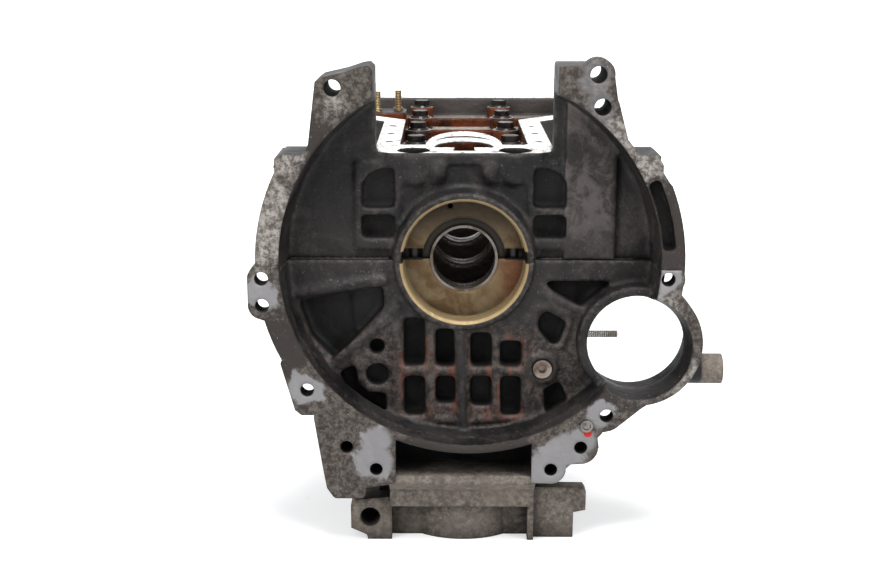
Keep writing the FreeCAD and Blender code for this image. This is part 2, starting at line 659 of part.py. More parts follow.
def split_holes(word, radius, low, high):
    """Holes for the bolts and dowels along the split."""
    holes = []
    for side, name in zip(SIDES, ("left", "right")):
        for index in range(CYLINDERS):
            holes.append(rod(
                f"{word}_{name}_rail_hole_{index}", "Z", radius, f"({high}) - ({low})",
                f"{side} * rail_bolt_x", f"rail_bolt_y + {index} * bore_pitch", low))
        holes.append(rod(
            f"{word}_{name}_dowel_seat", "Z", "dowel_r", "dowel_length",
            f"{side} * (skirt_half_width - 5.5)", web_y(2), "-dowel_length / 2"))
    return holes


# Lower crankcase, above the split

def crankcase_outside():
    neck = mirrored([("neck_half_width", "sump_height"), ("neck_half_width", "sump_height - 12"),
                     ("skirt_half_width - 2", 34), ("skirt_half_width", -20)])
    wide = mirrored([("wide_half_width", "sump_height"), ("wide_half_width", "sump_height - 14"),
                     ("skirt_half_width", 16), ("skirt_half_width", -20)])
    narrow_part = prism("neck", "Y", neck, "upper_floor_y", "neck_end_y")
    wide_part = prism("wide_end", "Y", wide, flare_end_y, front_y)
    flare = doc.addObject("Part::Loft", "flare")
    flare.Sections = [
        outline("flare_start", "Y", neck, "neck_end_y"),
        outline("flare_finish", "Y", wide, flare_end_y),
    ]
    flare.Solid = True
    flare.Ruled = True
    return [narrow_part, flare, wide_part]


def sump_rail():
    """The machined flange round the sump opening."""
    return prism(
        "sump_rail", "Z",
        [(60, "sump_front_y"), ("neck_half_width", "sump_front_y + 9"), ("neck_half_width", "neck_end_y"),
         ("wide_half_width", flare_end_y), ("wide_half_width", front_y), ("-wide_half_width", front_y),
         ("-wide_half_width", flare_end_y), ("-neck_half_width", "neck_end_y"),
         ("-neck_half_width", "sump_front_y + 9"), (-60, "sump_front_y")],
        "sump_height - sump_rail_depth", "sump_height", corner=2)


def sump_opening():
    return prism(
        "sump_opening", "Z",
        [("neck_opening", "rear_plate_y"), ("neck_opening", "neck_end_y + 12"),
         (wide_opening, f"{flare_end_y} + 6"), (wide_opening, f"{front_y} - 14"),
         (f"-{wide_opening}", f"{front_y} - 14"), (f"-{wide_opening}", f"{flare_end_y} + 6"),
         ("-neck_opening", "neck_end_y + 12"), ("-neck_opening", "rear_plate_y")],
        "saddle_height", f"sump_height + {BEYOND}", corner=5)


def crankcase_bays():
    """Open bays between the webs, from the split up to the sump opening."""
    narrow = mirrored([("neck_opening", "saddle_height + 1"), ("neck_opening", 50), ("neck_opening", -5)])
    wide = mirrored([(wide_opening, "saddle_height + 1"), (wide_opening, "saddle_height - 4"),
                     ("skirt_half_width - 9", 18), ("skirt_half_width - 9", -5)])
    bays = []
    for index in range(CYLINDERS):
        low = f"{web_y(index)} + web_thickness / 2"
        high = f"{web_y(index + 1)} - web_thickness / 2"
        bays.append(bay("crankcase", index))
        bays.append(prism(f"bay_{index}", "Y", narrow if index < 2 else wide,
                          low if index != 2 else f"{flare_end_y} + 4", high))
        if index == 2:
            bays.append(prism("flare_bay", "Y", narrow, low, high))
    return bays


def ellipse_plate(name, major, minor, y, low, high):
    ring = doc.addObject("Part::Ellipse", name + "_outline")
    ring.Placement.Rotation = FreeCAD.Rotation(FreeCAD.Vector(0, 0, 1), 90)
    bind(ring, MajorRadius=major, MinorRadius=minor)
    place(ring, 0, y, low)
    return extrude(name, ring, "Z", f"({high}) - ({low})")


def rear_tongue():
    """The arched tongue of the sump face, with its crescent and half-moon openings."""
    low, high = "sump_height - 8", "sump_height"
    below, above = f"{low} - 30", f"{high} + {BEYOND}"
    tongue = common(
        "tongue", ellipse_plate("tongue_ellipse", 80, 31, "rear_plate_y", low, high),
        slab("tongue_half", (-40, 40), ("rear_plate_y - 2", "rear_plate_y + 90"), (f"{low} - 1", f"{high} + 1")))
    crescent = cut(
        "crescent", ellipse_plate("crescent_outside", 41, 25, "rear_plate_y + 10", below, above),
        ellipse_plate("crescent_inside", 41, 28, "rear_plate_y + 1.5", f"{below} - 1", f"{above} + 1"))
    moon = common(
        "half_moon", ellipse_plate("moon_ellipse", 33, 24, "rear_plate_y - 14", below, above),
        slab("moon_half", (-30, 30), ("rear_plate_y - 14", "rear_plate_y + 30"), (f"{below} - 1", f"{above} + 1")))
    notch = slab("moon_notch", (-8, 8), ("rear_plate_y - 30", "rear_plate_y - 10"), (low, above))
    return tongue, crescent, moon, notch


def lower_crankcase():
    columns = []
    for side, word in zip(SIDES, ("left", "right")):
        for size, radius, across, y in (("wide", 12.5, "cap_bolt_spacing / 2", "rear_web_y - 3"),
                                        ("narrow", 7.9, 21.5, "upper_floor_y + 3")):
            x = f"{side} * {across}"
            columns.append(rod(f"{word}_{size}_column", "Z", radius, 22, x, y, "sump_height - 24"))
            columns.append(taper(f"{word}_{size}_column_end", "Z", radius - 5, radius, 4, x, y, "sump_height - 28"))
    boss = taper(
        "crankcase_seal_boss", "Y", "seal_boss_r", "seal_boss_r + seal_boss_draft", "upper_floor_y + 1 + seal_chamfer",
        0, "-seal_chamfer", 0)
    panel = common(
        "right_panel", slab("panel_slab", (79, 120), ("upper_floor_y - 5", "wall_back_y"), (0, 140)),
        rod("panel_limit", "Y", "bell_r - bell_draft", 60, "bell_x", -10, "bell_z"))
    frames, pockets = [], []
    for side, word in zip(SIDES, ("left", "right")):
        frames.append(slab(
            f"{word}_pocket_frame", sorted_pair(side, 50, 86.3), ("upper_floor_y - frame_height", "wall_back_y - 1"),
            (8, "sump_height - 8")))
        pockets.append(prism(
            f"{word}_high_pocket", "Y",
            [(f"{side} * 55", 41.5), (f"{side} * 81", 41.5), (f"{side} * 81", 60), (f"{side} * 75", 69),
             (f"{side} * 66", 73), (f"{side} * 55", 73)],
            "upper_floor_y - frame_height - 1", "wall_back_y - 2", corner=2))
        pockets.append(prism(
            f"{word}_low_pocket", "Y",
            [(f"{side} * 55", 17), (f"{side} * 81.5", 17), (f"{side} * 81.5", 35.5), (f"{side} * 55", 35.5)],
            "upper_floor_y - frame_height - 1", "wall_back_y - 2", corner=2))
    shell = fuse("crankcase_shell", common("upper_bell", bell_form, above_split), *crankcase_outside(),
                 sump_rail(), panel, *frames, *rail_bosses("crankcase", 0, "rail_boss_height"))
    shell = fuse("crankcase_casting", cut("pocketed_shell", shell, *pockets), boss, *columns)
    shell = common("trimmed_crankcase", shell, above_split)
    tongue, crescent, moon, notch = rear_tongue()
    opened = cut("opened_crankcase", shell, sump_opening(), *crankcase_bays())
    pads = []
    for index in range(1, WEBS):
        for side, word in zip(SIDES, ("left", "right")):
            pads.append(rod(f"{word}_pad_{index}", "Z", "cap_pad_r", "cap_pad_height - saddle_height + 20",
                            f"{side} * cap_bolt_spacing / 2", web_y(index), "saddle_height - 20"))
    rail, inner = "-wide_half_width + 18", "-wide_half_width + 58"
    stud_pad = prism(
        "stud_pad", "Z", [(rail, 282), (inner, 282), (inner, 306), ("-wide_half_width + 36", 306), (rail, 292)],
        "saddle_height - 30", "sump_height - 2", grow=6)
    padded = fuse("padded_crankcase", opened, tongue, stud_pad, stud_lobe(), *pads)
    tools = crank_line_cuts("crankcase") + [crescent, moon, notch]
    step = rod("step", "Y", "step_r", f"step_depth + {BEYOND}", 0, f"seal_depth - {BEYOND}", 0)
    tools.append(step)
    for side, word in zip(SIDES, ("left", "right")):
        tools.append(slab(f"{word}_notch", sorted_pair(side, 33, 52), (-1, "seal_depth + 6"), (-1, 8.5)))
        for index in range(WEBS):
            tools.append(rod(
                f"{word}_cap_hole_{index}", "Z", "cap_bolt_r + hole_gap", f"sump_height + {2 * BEYOND}",
                f"{side} * cap_bolt_spacing / 2", web_y(index), -BEYOND))
        tools.append(rod(f"{word}_counterbore", "Z", "counterbore_r", "sump_height - rear_seat_height + 1",
                         f"{side} * cap_bolt_spacing / 2", web_y(0), "rear_seat_height"))
    tools.append(rod("drain_hole", "Y", 2.1, 12, -11, "seal_depth - 1", 43))
    tools += split_holes("crankcase", "rail_bolt_r + thread_gap", -1, "rail_boss_height - 2")
    tools += sump_holes()
    for name, (x, y, seat) in STUDS.items():
        tools.append(rod(f"{name}_hole", "Z", "stud_r + thread_gap", "stud_reach + 1", x, y, f"{seat} - stud_reach"))
    return node("lower_crankcase", cut("crankcase_machined", padded, *tools))


def sorted_pair(side, near, far):
    return (near, far) if side > 0 else (-far, -near)


def sump_holes():
    holes = []
    rows = [("neck", "neck_opening / 2 + neck_half_width / 2", "rear_plate_y + 18 + {} * 48", 3),
            ("wide", "wide_half_width - sump_rail_width / 2", f"{flare_end_y} + 24 + {{}} * 48", 3)]
    for word, across, along, count in rows:
        for side, name in zip(SIDES, ("left", "right")):
            for index in range(count):
                holes.append(rod(
                    f"{word}_{name}_sump_hole_{index}", "Z", "sump_hole_r", "sump_hole_depth + 1",
                    f"{side} * ({across})", along.format(index), "sump_height - sump_hole_depth"))
    for side, name in zip(SIDES, ("left", "right")):
        holes.append(rod(f"rear_{name}_sump_hole", "Z", "sump_hole_r", "sump_hole_depth + 1",
                         f"{side} * 24", "sump_front_y + 6", "sump_height - sump_hole_depth"))
    return holes


STUDS = {
    # name: x, y, seat height
    "stud_a": ("-wide_half_width + 56", 300, "sump_height - 2"),
    "stud_b": ("-wide_half_width + 36", 290, "sump_height - 2"),
    "stud_c": ("-wide_half_width - 8", 262, "sump_height"),
}


def stud_lobe():
    """The lobe of the rail that carries the outer stud."""
    inner = "-wide_half_width + 10"
    return prism("stud_lobe", "Z", [("-wide_half_width - 8", 262), (inner, 250), (inner, 274)],
                 "sump_height - sump_rail_depth", "sump_height", grow=8)


# Small pieces

def cap_bolt(word, seat_height):
    """A flanged bolt with its seat at height 0; its shank is as long as that seat is high."""
    hexagon = doc.addObject("Part::Prism", f"{word}_hexagon")
    hexagon.Polygon = 6
    bind(hexagon, Circumradius="cap_hex_r", Height="cap_head_height - cap_head_flange")
    place(hexagon, z="cap_head_flange")
    shank = rod(f"{word}_shank", "Z", "cap_bolt_r", f"{seat_height} + cap_bolt_reach + 1",
                z=f"-{seat_height} - cap_bolt_reach")
    flange = taper(f"{word}_flange", "Z", "cap_head_r", "cap_head_r - 1", "cap_head_flange")
    return fuse(f"{word}_bolt", shank, flange, hexagon)


def main_bearing_bolts():
    bolt, rear_bolt = cap_bolt("cap", "cap_pad_height"), cap_bolt("rear_cap", "rear_seat_height")
    bolts = []
    for index in range(WEBS):
        for side, word in zip(SIDES, ("left", "right")):
            master = bolt if index else rear_bolt
            seat = "cap_pad_height" if index else "rear_seat_height"
            bolts.append(copy_of(f"{word}_cap_bolt_{index}", master,
                                 f"{side} * cap_bolt_spacing / 2", web_y(index), seat))
    node("main_bearing_bolts", group("cap_bolts", bolts))


def rail_bolts():
    """Bolts that go in from the head side, with their seats at height 0."""
    shank = rod("rail_shank", "Z", "rail_bolt_r", "2 * rail_boss_height - 3")
    head = rod("rail_head", "Z", "rail_head_r", "rail_head_height", z="-rail_head_height")
    socket = doc.addObject("Part::Prism", "rail_socket")
    socket.Polygon = 6
    bind(socket, Circumradius="rail_head_r / 2", Height=5)
    place(socket, z="-rail_head_height - 1")
    bolt = cut("rail_bolt", fuse("rail_bolt_blank", shank, head), socket)
    bolts = []
    for side, word in zip(SIDES, ("left", "right")):
        for index in range(CYLINDERS):
            bolts.append(copy_of(f"{word}_rail_bolt_{index}", bolt, f"{side} * rail_bolt_x",
                                 f"rail_bolt_y + {index} * bore_pitch", "-rail_boss_height"))
    node("split_rail_bolts", group("rail_bolts", bolts))


def bearing_shells():
    ring = cut(
        "shell_ring", rod("shell_outside", "Y", housing_r, "shell_width", 0, "-shell_width / 2"),
        rod("shell_inside", "Y", "journal_bore / 2", "shell_width + 2", 0, "-shell_width / 2 - 1"))
    half = "journal_bore"
    lower = slab("shell_lower_half", (f"-{half}", half), ("-shell_width", "shell_width"), (f"-{half}", 0))
    upper = slab("shell_upper_half", (f"-{half}", half), ("-shell_width", "shell_width"), (0, half))
    groove = rod("oil_groove", "Y", "journal_bore / 2 + shell_thickness / 2", "shell_groove", 0, "-shell_groove / 2")
    block_shell = cut("block_shell", common("plain_block_shell", ring, lower), groove)
    cap_shell = common("cap_shell", ring, upper)
    for index in range(WEBS):
        place_word = WEBS - index
        node(f"main_shell_block_{place_word}", group(
            f"block_shell_{place_word}", [copy_of(f"block_shell_link_{index}", block_shell, 0, web_y(index))]))
        node(f"main_shell_cap_{place_word}", group(
            f"cap_shell_{place_word}", [copy_of(f"cap_shell_link_{index}", cap_shell, 0, web_y(index))]))


def liners():
    for index in range(CYLINDERS):
        number = CYLINDERS - index
        y = cylinder_y(index)
        outside = rod(f"liner_outside_{number}", "Z", liner_r, "deck_height - liner_top", 0, y, "-deck_height")
        bore = rod(f"liner_bore_{number}", "Z", "cylinder_bore / 2", "deck_height - liner_top + 2",
                   0, y, "-deck_height - 1")
        node(f"cylinder_liner_{number}", cut(f"liner_{number}", outside, bore))


def small_pieces():
    dowels = []
    for side, word in zip(SIDES, ("left", "right")):
        dowels.append(rod(f"{word}_dowel", "Z", "dowel_r", "dowel_length - 0.4",
                          f"{side} * (skirt_half_width - 5.5)", web_y(2), "-dowel_length / 2 + 0.2"))
    node("split_dowels", group("dowels", dowels))
    (x, z), = with_bell(("dowel_hole_x", "dowel_hole_z"))
    front = "flange_y - flange_dowel_proud"
    node("transmission_dowel", cut(
        "dowel_pin", rod("pin_body", "Y", "flange_dowel_r", "flange_dowel_length", x, front, z),
        taper("pin_centre", "Y", "flange_dowel_r - 1.6", "flange_dowel_r - 2.2", 2, x, front, z)))
    socket = doc.addObject("Part::Prism", "plug_socket")
    socket.Polygon = 6
    socket.Placement.Rotation = TURNS["Y"]
    bind(socket, Circumradius=3.6, Height=5)
    place(socket, "gallery_x", "block_floor_y - 6", "gallery_z")
    body = rod("plug_body", "Y", "plug_r", "plug_depth", "gallery_x", "block_floor_y - 5", "gallery_z")
    plug = cut("gallery_plug", body, socket)
    node("oil_gallery_plug", plug)
    studs = []
    for name, (x, y, seat) in STUDS.items():
        studs.append(fuse(
            name,
            rod(f"{name}_rod", "Z", "stud_r", "stud_height + stud_reach", x, y, f"{seat} - stud_reach"),
            rod(f"{name}_collar", "Z", "stud_collar_r", "stud_collar", x, y, seat)))
    node("sump_studs", group("studs", studs))
    node("side_stud", fuse(
        "side_stud_piece",
        rod("side_stud_rod", "X", "stud_r", 32 + 10, "side_boss_x - stud_reach", "side_stud_y", "side_stud_z"),
        rod("side_stud_collar", "X", "stud_collar_r + 1", "stud_collar + 1", "side_boss_x", "side_stud_y", "side_stud_z")))


below_split = slab("below_split", (-250, 250), (-60, f"{front_y} + 60"), ("-deck_height", 0))
above_split = slab("above_the_split", (-250, 250), (-60, f"{front_y} + 60"), (0, 200))
bell_form = bell()
cylinder_block()
lower_crankcase()
liners()
bearing_shells()
main_bearing_bolts()
rail_bolts()
small_pieces()
doc.recompute()

failed = [item.Name for item in doc.Objects if {"Invalid", "Error"} & set(item.State)]
if failed:
    raise RuntimeError("These objects failed: " + ", ".join(failed))
for name, item in nodes.items():
    if item.Shape.isNull() or not item.Shape.isValid():
        raise RuntimeError(f"{name} has no valid shape")
os.makedirs("parts", exist_ok=True)
for name, item in nodes.items():
    item.Shape.exportStep(os.path.join("parts", name + ".step"))
    print(name, len(item.Shape.Solids), round(item.Shape.Volume / 1000, 1), "cm3")
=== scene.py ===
from math import cos, pi, radians, sin

import bmesh
import bpy
from mathutils import Matrix, Vector


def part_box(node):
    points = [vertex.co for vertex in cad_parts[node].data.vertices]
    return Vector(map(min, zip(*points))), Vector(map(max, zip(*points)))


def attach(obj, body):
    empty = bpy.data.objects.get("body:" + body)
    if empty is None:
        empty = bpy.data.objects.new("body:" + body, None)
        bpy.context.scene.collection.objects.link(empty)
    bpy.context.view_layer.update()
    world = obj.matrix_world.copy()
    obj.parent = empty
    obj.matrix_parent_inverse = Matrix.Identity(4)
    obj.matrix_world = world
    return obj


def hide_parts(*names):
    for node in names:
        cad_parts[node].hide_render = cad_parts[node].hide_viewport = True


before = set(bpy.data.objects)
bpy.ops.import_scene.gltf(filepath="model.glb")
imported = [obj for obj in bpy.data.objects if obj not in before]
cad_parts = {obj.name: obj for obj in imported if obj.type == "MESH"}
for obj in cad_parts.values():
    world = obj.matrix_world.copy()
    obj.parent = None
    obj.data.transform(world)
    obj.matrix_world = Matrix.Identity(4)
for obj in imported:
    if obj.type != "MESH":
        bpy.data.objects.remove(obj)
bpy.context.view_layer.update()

scene = bpy.context.scene
scene.view_settings.view_transform = "Standard"


# The view. The block stands on its head face, and the camera looks along the
# crank from a little above the sump side, level with the bell housing.

eye = Vector((-0.01410, -1.03377, 0.24507))
tilt_down, turn_left = radians(14.521), radians(0.497)
sight = Vector((-sin(turn_left) * cos(tilt_down), cos(turn_left) * cos(tilt_down), -sin(tilt_down)))
camera_data = bpy.data.cameras.new("camera")
camera_data.lens, camera_data.sensor_width = 55.59, 36.0
camera = bpy.data.objects.new("camera", camera_data)
camera.location = eye
camera.rotation_mode = "QUATERNION"
camera.rotation_quaternion = sight.to_track_quat("-Z", "Y")
scene.collection.objects.link(camera)
scene.camera = camera


# The studio: a white sheet that the block stands on, curving away behind it,
# with a few specks of dirt that have fallen off, and soft lamps above and beside.

def feed(tree, socket, value):
    """Links an output to the socket, or sets the socket's own value."""
    if isinstance(value, bpy.types.NodeSocket):
        tree.links.new(value, socket)
    elif socket.type == "RGBA":
        socket.default_value = (*value, 1.0)
    else:
        socket.default_value = value


def calc(tree, operation, *values, clamp=False):
    node = tree.nodes.new("ShaderNodeMath")
    node.operation, node.use_clamp = operation, clamp
    for socket, value in zip(node.inputs, values):
        feed(tree, socket, value)
    return node.outputs[0]


def vector_calc(tree, operation, *values, out=0):
    node = tree.nodes.new("ShaderNodeVectorMath")
    node.operation = operation
    for socket, value in zip(node.inputs, values):
        feed(tree, socket, value)
    return node.outputs[out]


def rise(tree, value, low, high):
    """0 below low, 1 above high, smooth between. With low above high it falls."""
    node = tree.nodes.new("ShaderNodeMapRange")
    node.interpolation_type = "SMOOTHSTEP"
    feed(tree, node.inputs["Value"], value)
    flip = low > high
    node.inputs["From Min"].default_value = high if flip else low
    node.inputs["From Max"].default_value = low if flip else high
    node.inputs["To Min"].default_value = 1.0 if flip else 0.0
    node.inputs["To Max"].default_value = 0.0 if flip else 1.0
    return node.outputs[0]


def tint(tree, share, first, second):
    """The first colour, turning to the second as share goes from 0 to 1."""
    node = tree.nodes.new("ShaderNodeMix")
    node.data_type, node.clamp_factor = "RGBA", True
    for index, value in ((0, share), (6, first), (7, second)):
        feed(tree, node.inputs[index], value)
    return node.outputs[2]


def noise(tree, where, scale, detail=4.0, rough=0.6, warp=0.0):
    node = tree.nodes.new("ShaderNodeTexNoise")
    values = {"Vector": where, "Scale": scale, "Detail": detail, "Roughness": rough, "Distortion": warp}
    for name, value in values.items():
        feed(tree, node.inputs[name], value)
    return node.outputs[0]


def object_place(tree):
    return tree.nodes.new("ShaderNodeTexCoord").outputs["Object"]


def new_material(name):
    """A material with only its Principled shader: (material, tree, shader)."""
    material = bpy.data.materials.new(name)
    material.use_nodes = True
    return material, material.node_tree, material.node_tree.nodes["Principled BSDF"]


def verts_of(geometry):
    return [part for part in geometry if isinstance(part, bmesh.types.BMVert)]


head_face_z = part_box("cylinder_block")[0].z
floor_depth, floor_width, wall_height, curve_radius, curve_steps = 3.2, 7.0, 3.0, 1.2, 24
curve_y = floor_depth - curve_radius
sheet = bmesh.new()
edge = [sheet.verts.new((-floor_width / 2, y, head_face_z)) for y in (-floor_depth, curve_y)]
sheet.edges.new(edge)
rear_edge = bmesh.ops.spin(
    sheet, geom=[edge[1]], axis=(1, 0, 0), cent=(0, curve_y, head_face_z + curve_radius),
    dvec=(0, 0, 0), angle=radians(90), steps=curve_steps)
top = bmesh.ops.extrude_vert_indiv(sheet, verts=verts_of(rear_edge["geom_last"]))["verts"]
bmesh.ops.translate(sheet, verts=top, vec=(0, 0, wall_height))
right_side = bmesh.ops.extrude_edge_only(sheet, edges=sheet.edges[:])["geom"]
bmesh.ops.translate(sheet, verts=verts_of(right_side), vec=(floor_width, 0, 0))
bmesh.ops.recalc_face_normals(sheet, faces=sheet.faces[:])
paper_mesh = bpy.data.meshes.new("studio_sheet")
sheet.to_mesh(paper_mesh)
sheet.free()
paper_mesh.shade_smooth()
paper = bpy.data.objects.new("studio_sheet", paper_mesh)
scene.collection.objects.link(paper)

paper_white, speck_brown = (0.82, 0.83, 0.84), (0.16, 0.14, 0.13)
paper_rough, far_level, shadow_lift = 0.75, 0.45, 0.40
material, tree, shader = new_material("studio_paper")
where = object_place(tree)
specks = rise(tree, noise(tree, where, 42.0, 3.0, 0.55), 0.735, 0.755)
near = rise(tree, vector_calc(tree, "LENGTH", where, out=1), 0.95, 0.35)
specks = calc(tree, "MULTIPLY", specks, near)
feed(tree, shader.inputs["Base Color"], tint(tree, specks, paper_white, speck_brown))
shader.inputs["Roughness"].default_value = paper_rough
# it glows towards the back, and its shadows are lifted where the camera sees them
floor_place = tree.nodes.new("ShaderNodeSeparateXYZ")
feed(tree, floor_place.inputs[0], where)
far_glow = calc(tree, "MULTIPLY", rise(tree, floor_place.outputs[1], 0.3, 1.8), far_level)
seen_directly = tree.nodes.new("ShaderNodeLightPath").outputs["Is Camera Ray"]
lift = calc(tree, "MULTIPLY", seen_directly, shadow_lift)
feed(tree, shader.inputs["Emission Strength"], calc(tree, "ADD", far_glow, lift))
shader.inputs["Emission Color"].default_value = (1.0, 1.0, 1.0, 1.0)
paper_mesh.materials.append(material)

world = bpy.data.worlds.new("studio")
world.use_nodes = True
scene.world = world
sky = world.node_tree
light_path = sky.nodes.new("ShaderNodeLightPath")
seen = calc(sky, "MAXIMUM", light_path.outputs["Is Camera Ray"], light_path.outputs["Is Glossy Ray"])
seen = calc(sky, "MAXIMUM", seen, light_path.outputs["Is Transmission Ray"])
plain_level, seen_level = 0.37, 1.0
background = sky.nodes["Background"]
strength = calc(sky, "ADD", plain_level, calc(sky, "MULTIPLY", seen, seen_level - plain_level))
feed(sky, background.inputs["Strength"], strength)
background.inputs["Color"].default_value = (1.0, 1.0, 1.0, 1.0)


def soft_lamp(name, place, aim, size, power):
    data = bpy.data.lights.new(name, "AREA")
    data.shape, data.size, data.energy = "DISK", size, power
    lamp = bpy.data.objects.new(name, data)
    lamp.location = place
    lamp.rotation_mode = "QUATERNION"
    lamp.rotation_quaternion = (Vector(aim) - Vector(place)).to_track_quat("-Z", "Y")
    scene.collection.objects.link(lamp)


soft_lamp("lamp_above", (0.15, -0.55, 1.6), (0, 0.05, 0), 0.8, 40.0)
soft_lamp("lamp_left", (-1.4, -1.2, 0.9), (0, 0, 0), 0.6, 20.0)
soft_lamp("lamp_right", (1.5, -0.9, 0.8), (0, 0, 0), 0.6, 15.0)


# Cylinder block: one sand casting in aluminium, machined on the transmission,
# head, split and timing faces. Years of oil and road dirt have turned it brown.

def new_group(name, inputs, outputs):
    """A node group with sockets named and typed as given: (group, its input node, its output node)."""
    group = bpy.data.node_groups.new(name, "ShaderNodeTree")
    for direction, sockets in (("INPUT", inputs), ("OUTPUT", outputs)):
        for label, kind in sockets:
            group.interface.new_socket(label, in_out=direction, socket_type="NodeSocket" + kind)
    return group, group.nodes.new("NodeGroupInput"), group.nodes.new("NodeGroupOutput")


def use_group(tree, group, **inputs):
    node = tree.nodes.new("ShaderNodeGroup")
    node.node_tree = group
    for name, value in inputs.items():
        feed(tree, node.inputs[name], value)
    return node.outputs


# Rough cast skin: broad stains, pea-sized blotches, small pale flecks of grit, and a height
# made of fine grain, pits and lumps.
cast_skin, given, result = new_group(
    "cast_skin", [("Place", "Vector")],
    [("Cloud", "Float"), ("Blotch", "Float"), ("Fleck", "Float"), ("Height", "Float")])
place = given.outputs["Place"]
clouds = noise(cast_skin, place, 24.0, 5.0, 0.62, 0.4)
blotches = noise(cast_skin, place, 190.0, 7.0, 0.76, 0.2)
flecks = noise(cast_skin, place, 460.0, 3.0, 0.62)
feed(cast_skin, result.inputs["Cloud"], rise(cast_skin, clouds, 0.36, 0.64))
feed(cast_skin, result.inputs["Blotch"], rise(cast_skin, blotches, 0.40, 0.64))
feed(cast_skin, result.inputs["Fleck"], rise(cast_skin, flecks, 0.66, 0.72))
grain = noise(cast_skin, place, 420.0, 4.0, 0.65)
pits = noise(cast_skin, place, 900.0, 2.0, 0.5)
lumps = noise(cast_skin, place, 85.0, 3.0, 0.55, 0.3)
grain_height, pit_height, lump_height = 0.35, 0.15, 1.6
height = calc(cast_skin, "MULTIPLY", grain, grain_height)
height = calc(cast_skin, "ADD", height, calc(cast_skin, "MULTIPLY", pits, pit_height))
height = calc(cast_skin, "ADD", height, calc(cast_skin, "MULTIPLY", lumps, lump_height))
feed(cast_skin, result.inputs["Height"], height)

# Edges and corners: the cast rounding of each edge, where it is worn and lit with a painted highlight, and
# the painted shade of the corners, found by ambient occlusion.
edges_and_shade, given, result = new_group(
    "edges_and_shade", [("Rounding", "Float"), ("Reach", "Float")],
    [("WearAndHighlight", "Float"), ("PaintedShade", "Float"), ("Normal", "Vector")])
rounding = edges_and_shade.nodes.new("ShaderNodeBevel")
rounding.samples = 4
feed(edges_and_shade, rounding.inputs["Radius"], given.outputs["Rounding"])
flat = edges_and_shade.nodes.new("ShaderNodeNewGeometry")
# edges where the rounding turns the normal: wear, partly a painted highlight
agree = vector_calc(edges_and_shade, "DOT_PRODUCT", rounding.outputs["Normal"], flat.outputs["Normal"], out=1)
feed(edges_and_shade, result.inputs["WearAndHighlight"], rise(edges_and_shade, agree, 0.996, 0.90))
feed(edges_and_shade, result.inputs["Normal"], rounding.outputs["Normal"])
# painted shade in corners and recesses, from ambient occlusion
corners = edges_and_shade.nodes.new("ShaderNodeAmbientOcclusion")
corners.samples = 6
feed(edges_and_shade, corners.inputs["Distance"], given.outputs["Reach"])
feed(edges_and_shade, result.inputs["PaintedShade"], rise(edges_and_shade, corners.outputs["AO"], 0.85, 0.15))

# Where a point lies, as distances from the crank axis and from the bell's own axis.
bell_x, bell_z = 0.004, 0.003
where_on_block, given, result = new_group(
    "where_on_block", [("Place", "Vector")],
    [("Across", "Float"), ("Along", "Float"), ("Up", "Float"), ("Crank", "Float"), ("Bell", "Float")])
split = where_on_block.nodes.new("ShaderNodeSeparateXYZ")
feed(where_on_block, split.inputs[0], given.outputs["Place"])
for label, output in (("Across", 0), ("Along", 1), ("Up", 2)):
    feed(where_on_block, result.inputs[label], split.outputs[output])
for label, centre in (("Crank", (0, 0, 0)), ("Bell", (bell_x, 0, bell_z))):
    flattened = vector_calc(where_on_block, "MULTIPLY", given.outputs["Place"], (1, 0, 1))
    away = vector_calc(where_on_block, "DISTANCE", flattened, centre, out=1)
    feed(where_on_block, result.inputs[label], away)


def both(tree, *masks):
    mask = masks[0]
    for other in masks[1:]:
        mask = calc(tree, "MULTIPLY", mask, other)
    return mask


def either(tree, *masks):
    mask = masks[0]
    for other in masks[1:]:
        mask = calc(tree, "MAXIMUM", mask, other)
    return mask


def all_but(tree, mask):
    return calc(tree, "SUBTRACT", 1.0, mask)


def patch(tree, place, cloud, spots, soft=0.004, ragged=0.012):
    """A mask round each (x, z, radius) spot of the flange face, with a soft and ragged edge."""
    masks = []
    for x, z, radius in spots:
        away = vector_calc(tree, "DISTANCE", place, (x, spot_y, z), out=1)
        away = calc(tree, "ADD", away, both(tree, calc(tree, "SUBTRACT", cloud, 0.5), ragged))
        masks.append(rise(tree, away, radius + soft, max(radius - soft, 0.0)))
    return either(tree, *masks)


oily_dark, oily_brown = (0.0052, 0.0048, 0.0050), (0.0165, 0.0142, 0.0138)
shade_black, dry_grime = (0.0010, 0.0009, 0.0009), (0.066, 0.057, 0.053)
rim_dark, rim_tan, rim_pale = (0.026, 0.021, 0.0185), (0.125, 0.108, 0.094), (0.33, 0.31, 0.29)
machined_grey, machined_bright, paint_red = (0.235, 0.23, 0.235), (0.33, 0.33, 0.34), (0.42, 0.035, 0.03)
scuffed_grey, rust_red, rib_scraped = (0.20, 0.18, 0.165), (0.115, 0.036, 0.020), (0.085, 0.065, 0.054)
dust_dark, dust_brown, dust_tan = (0.060, 0.049, 0.041), (0.115, 0.098, 0.083), (0.175, 0.150, 0.126)
flange_face_y, spot_y, rib_face_y, seal_depth = -0.0258, -0.026, 0.006, 0.012
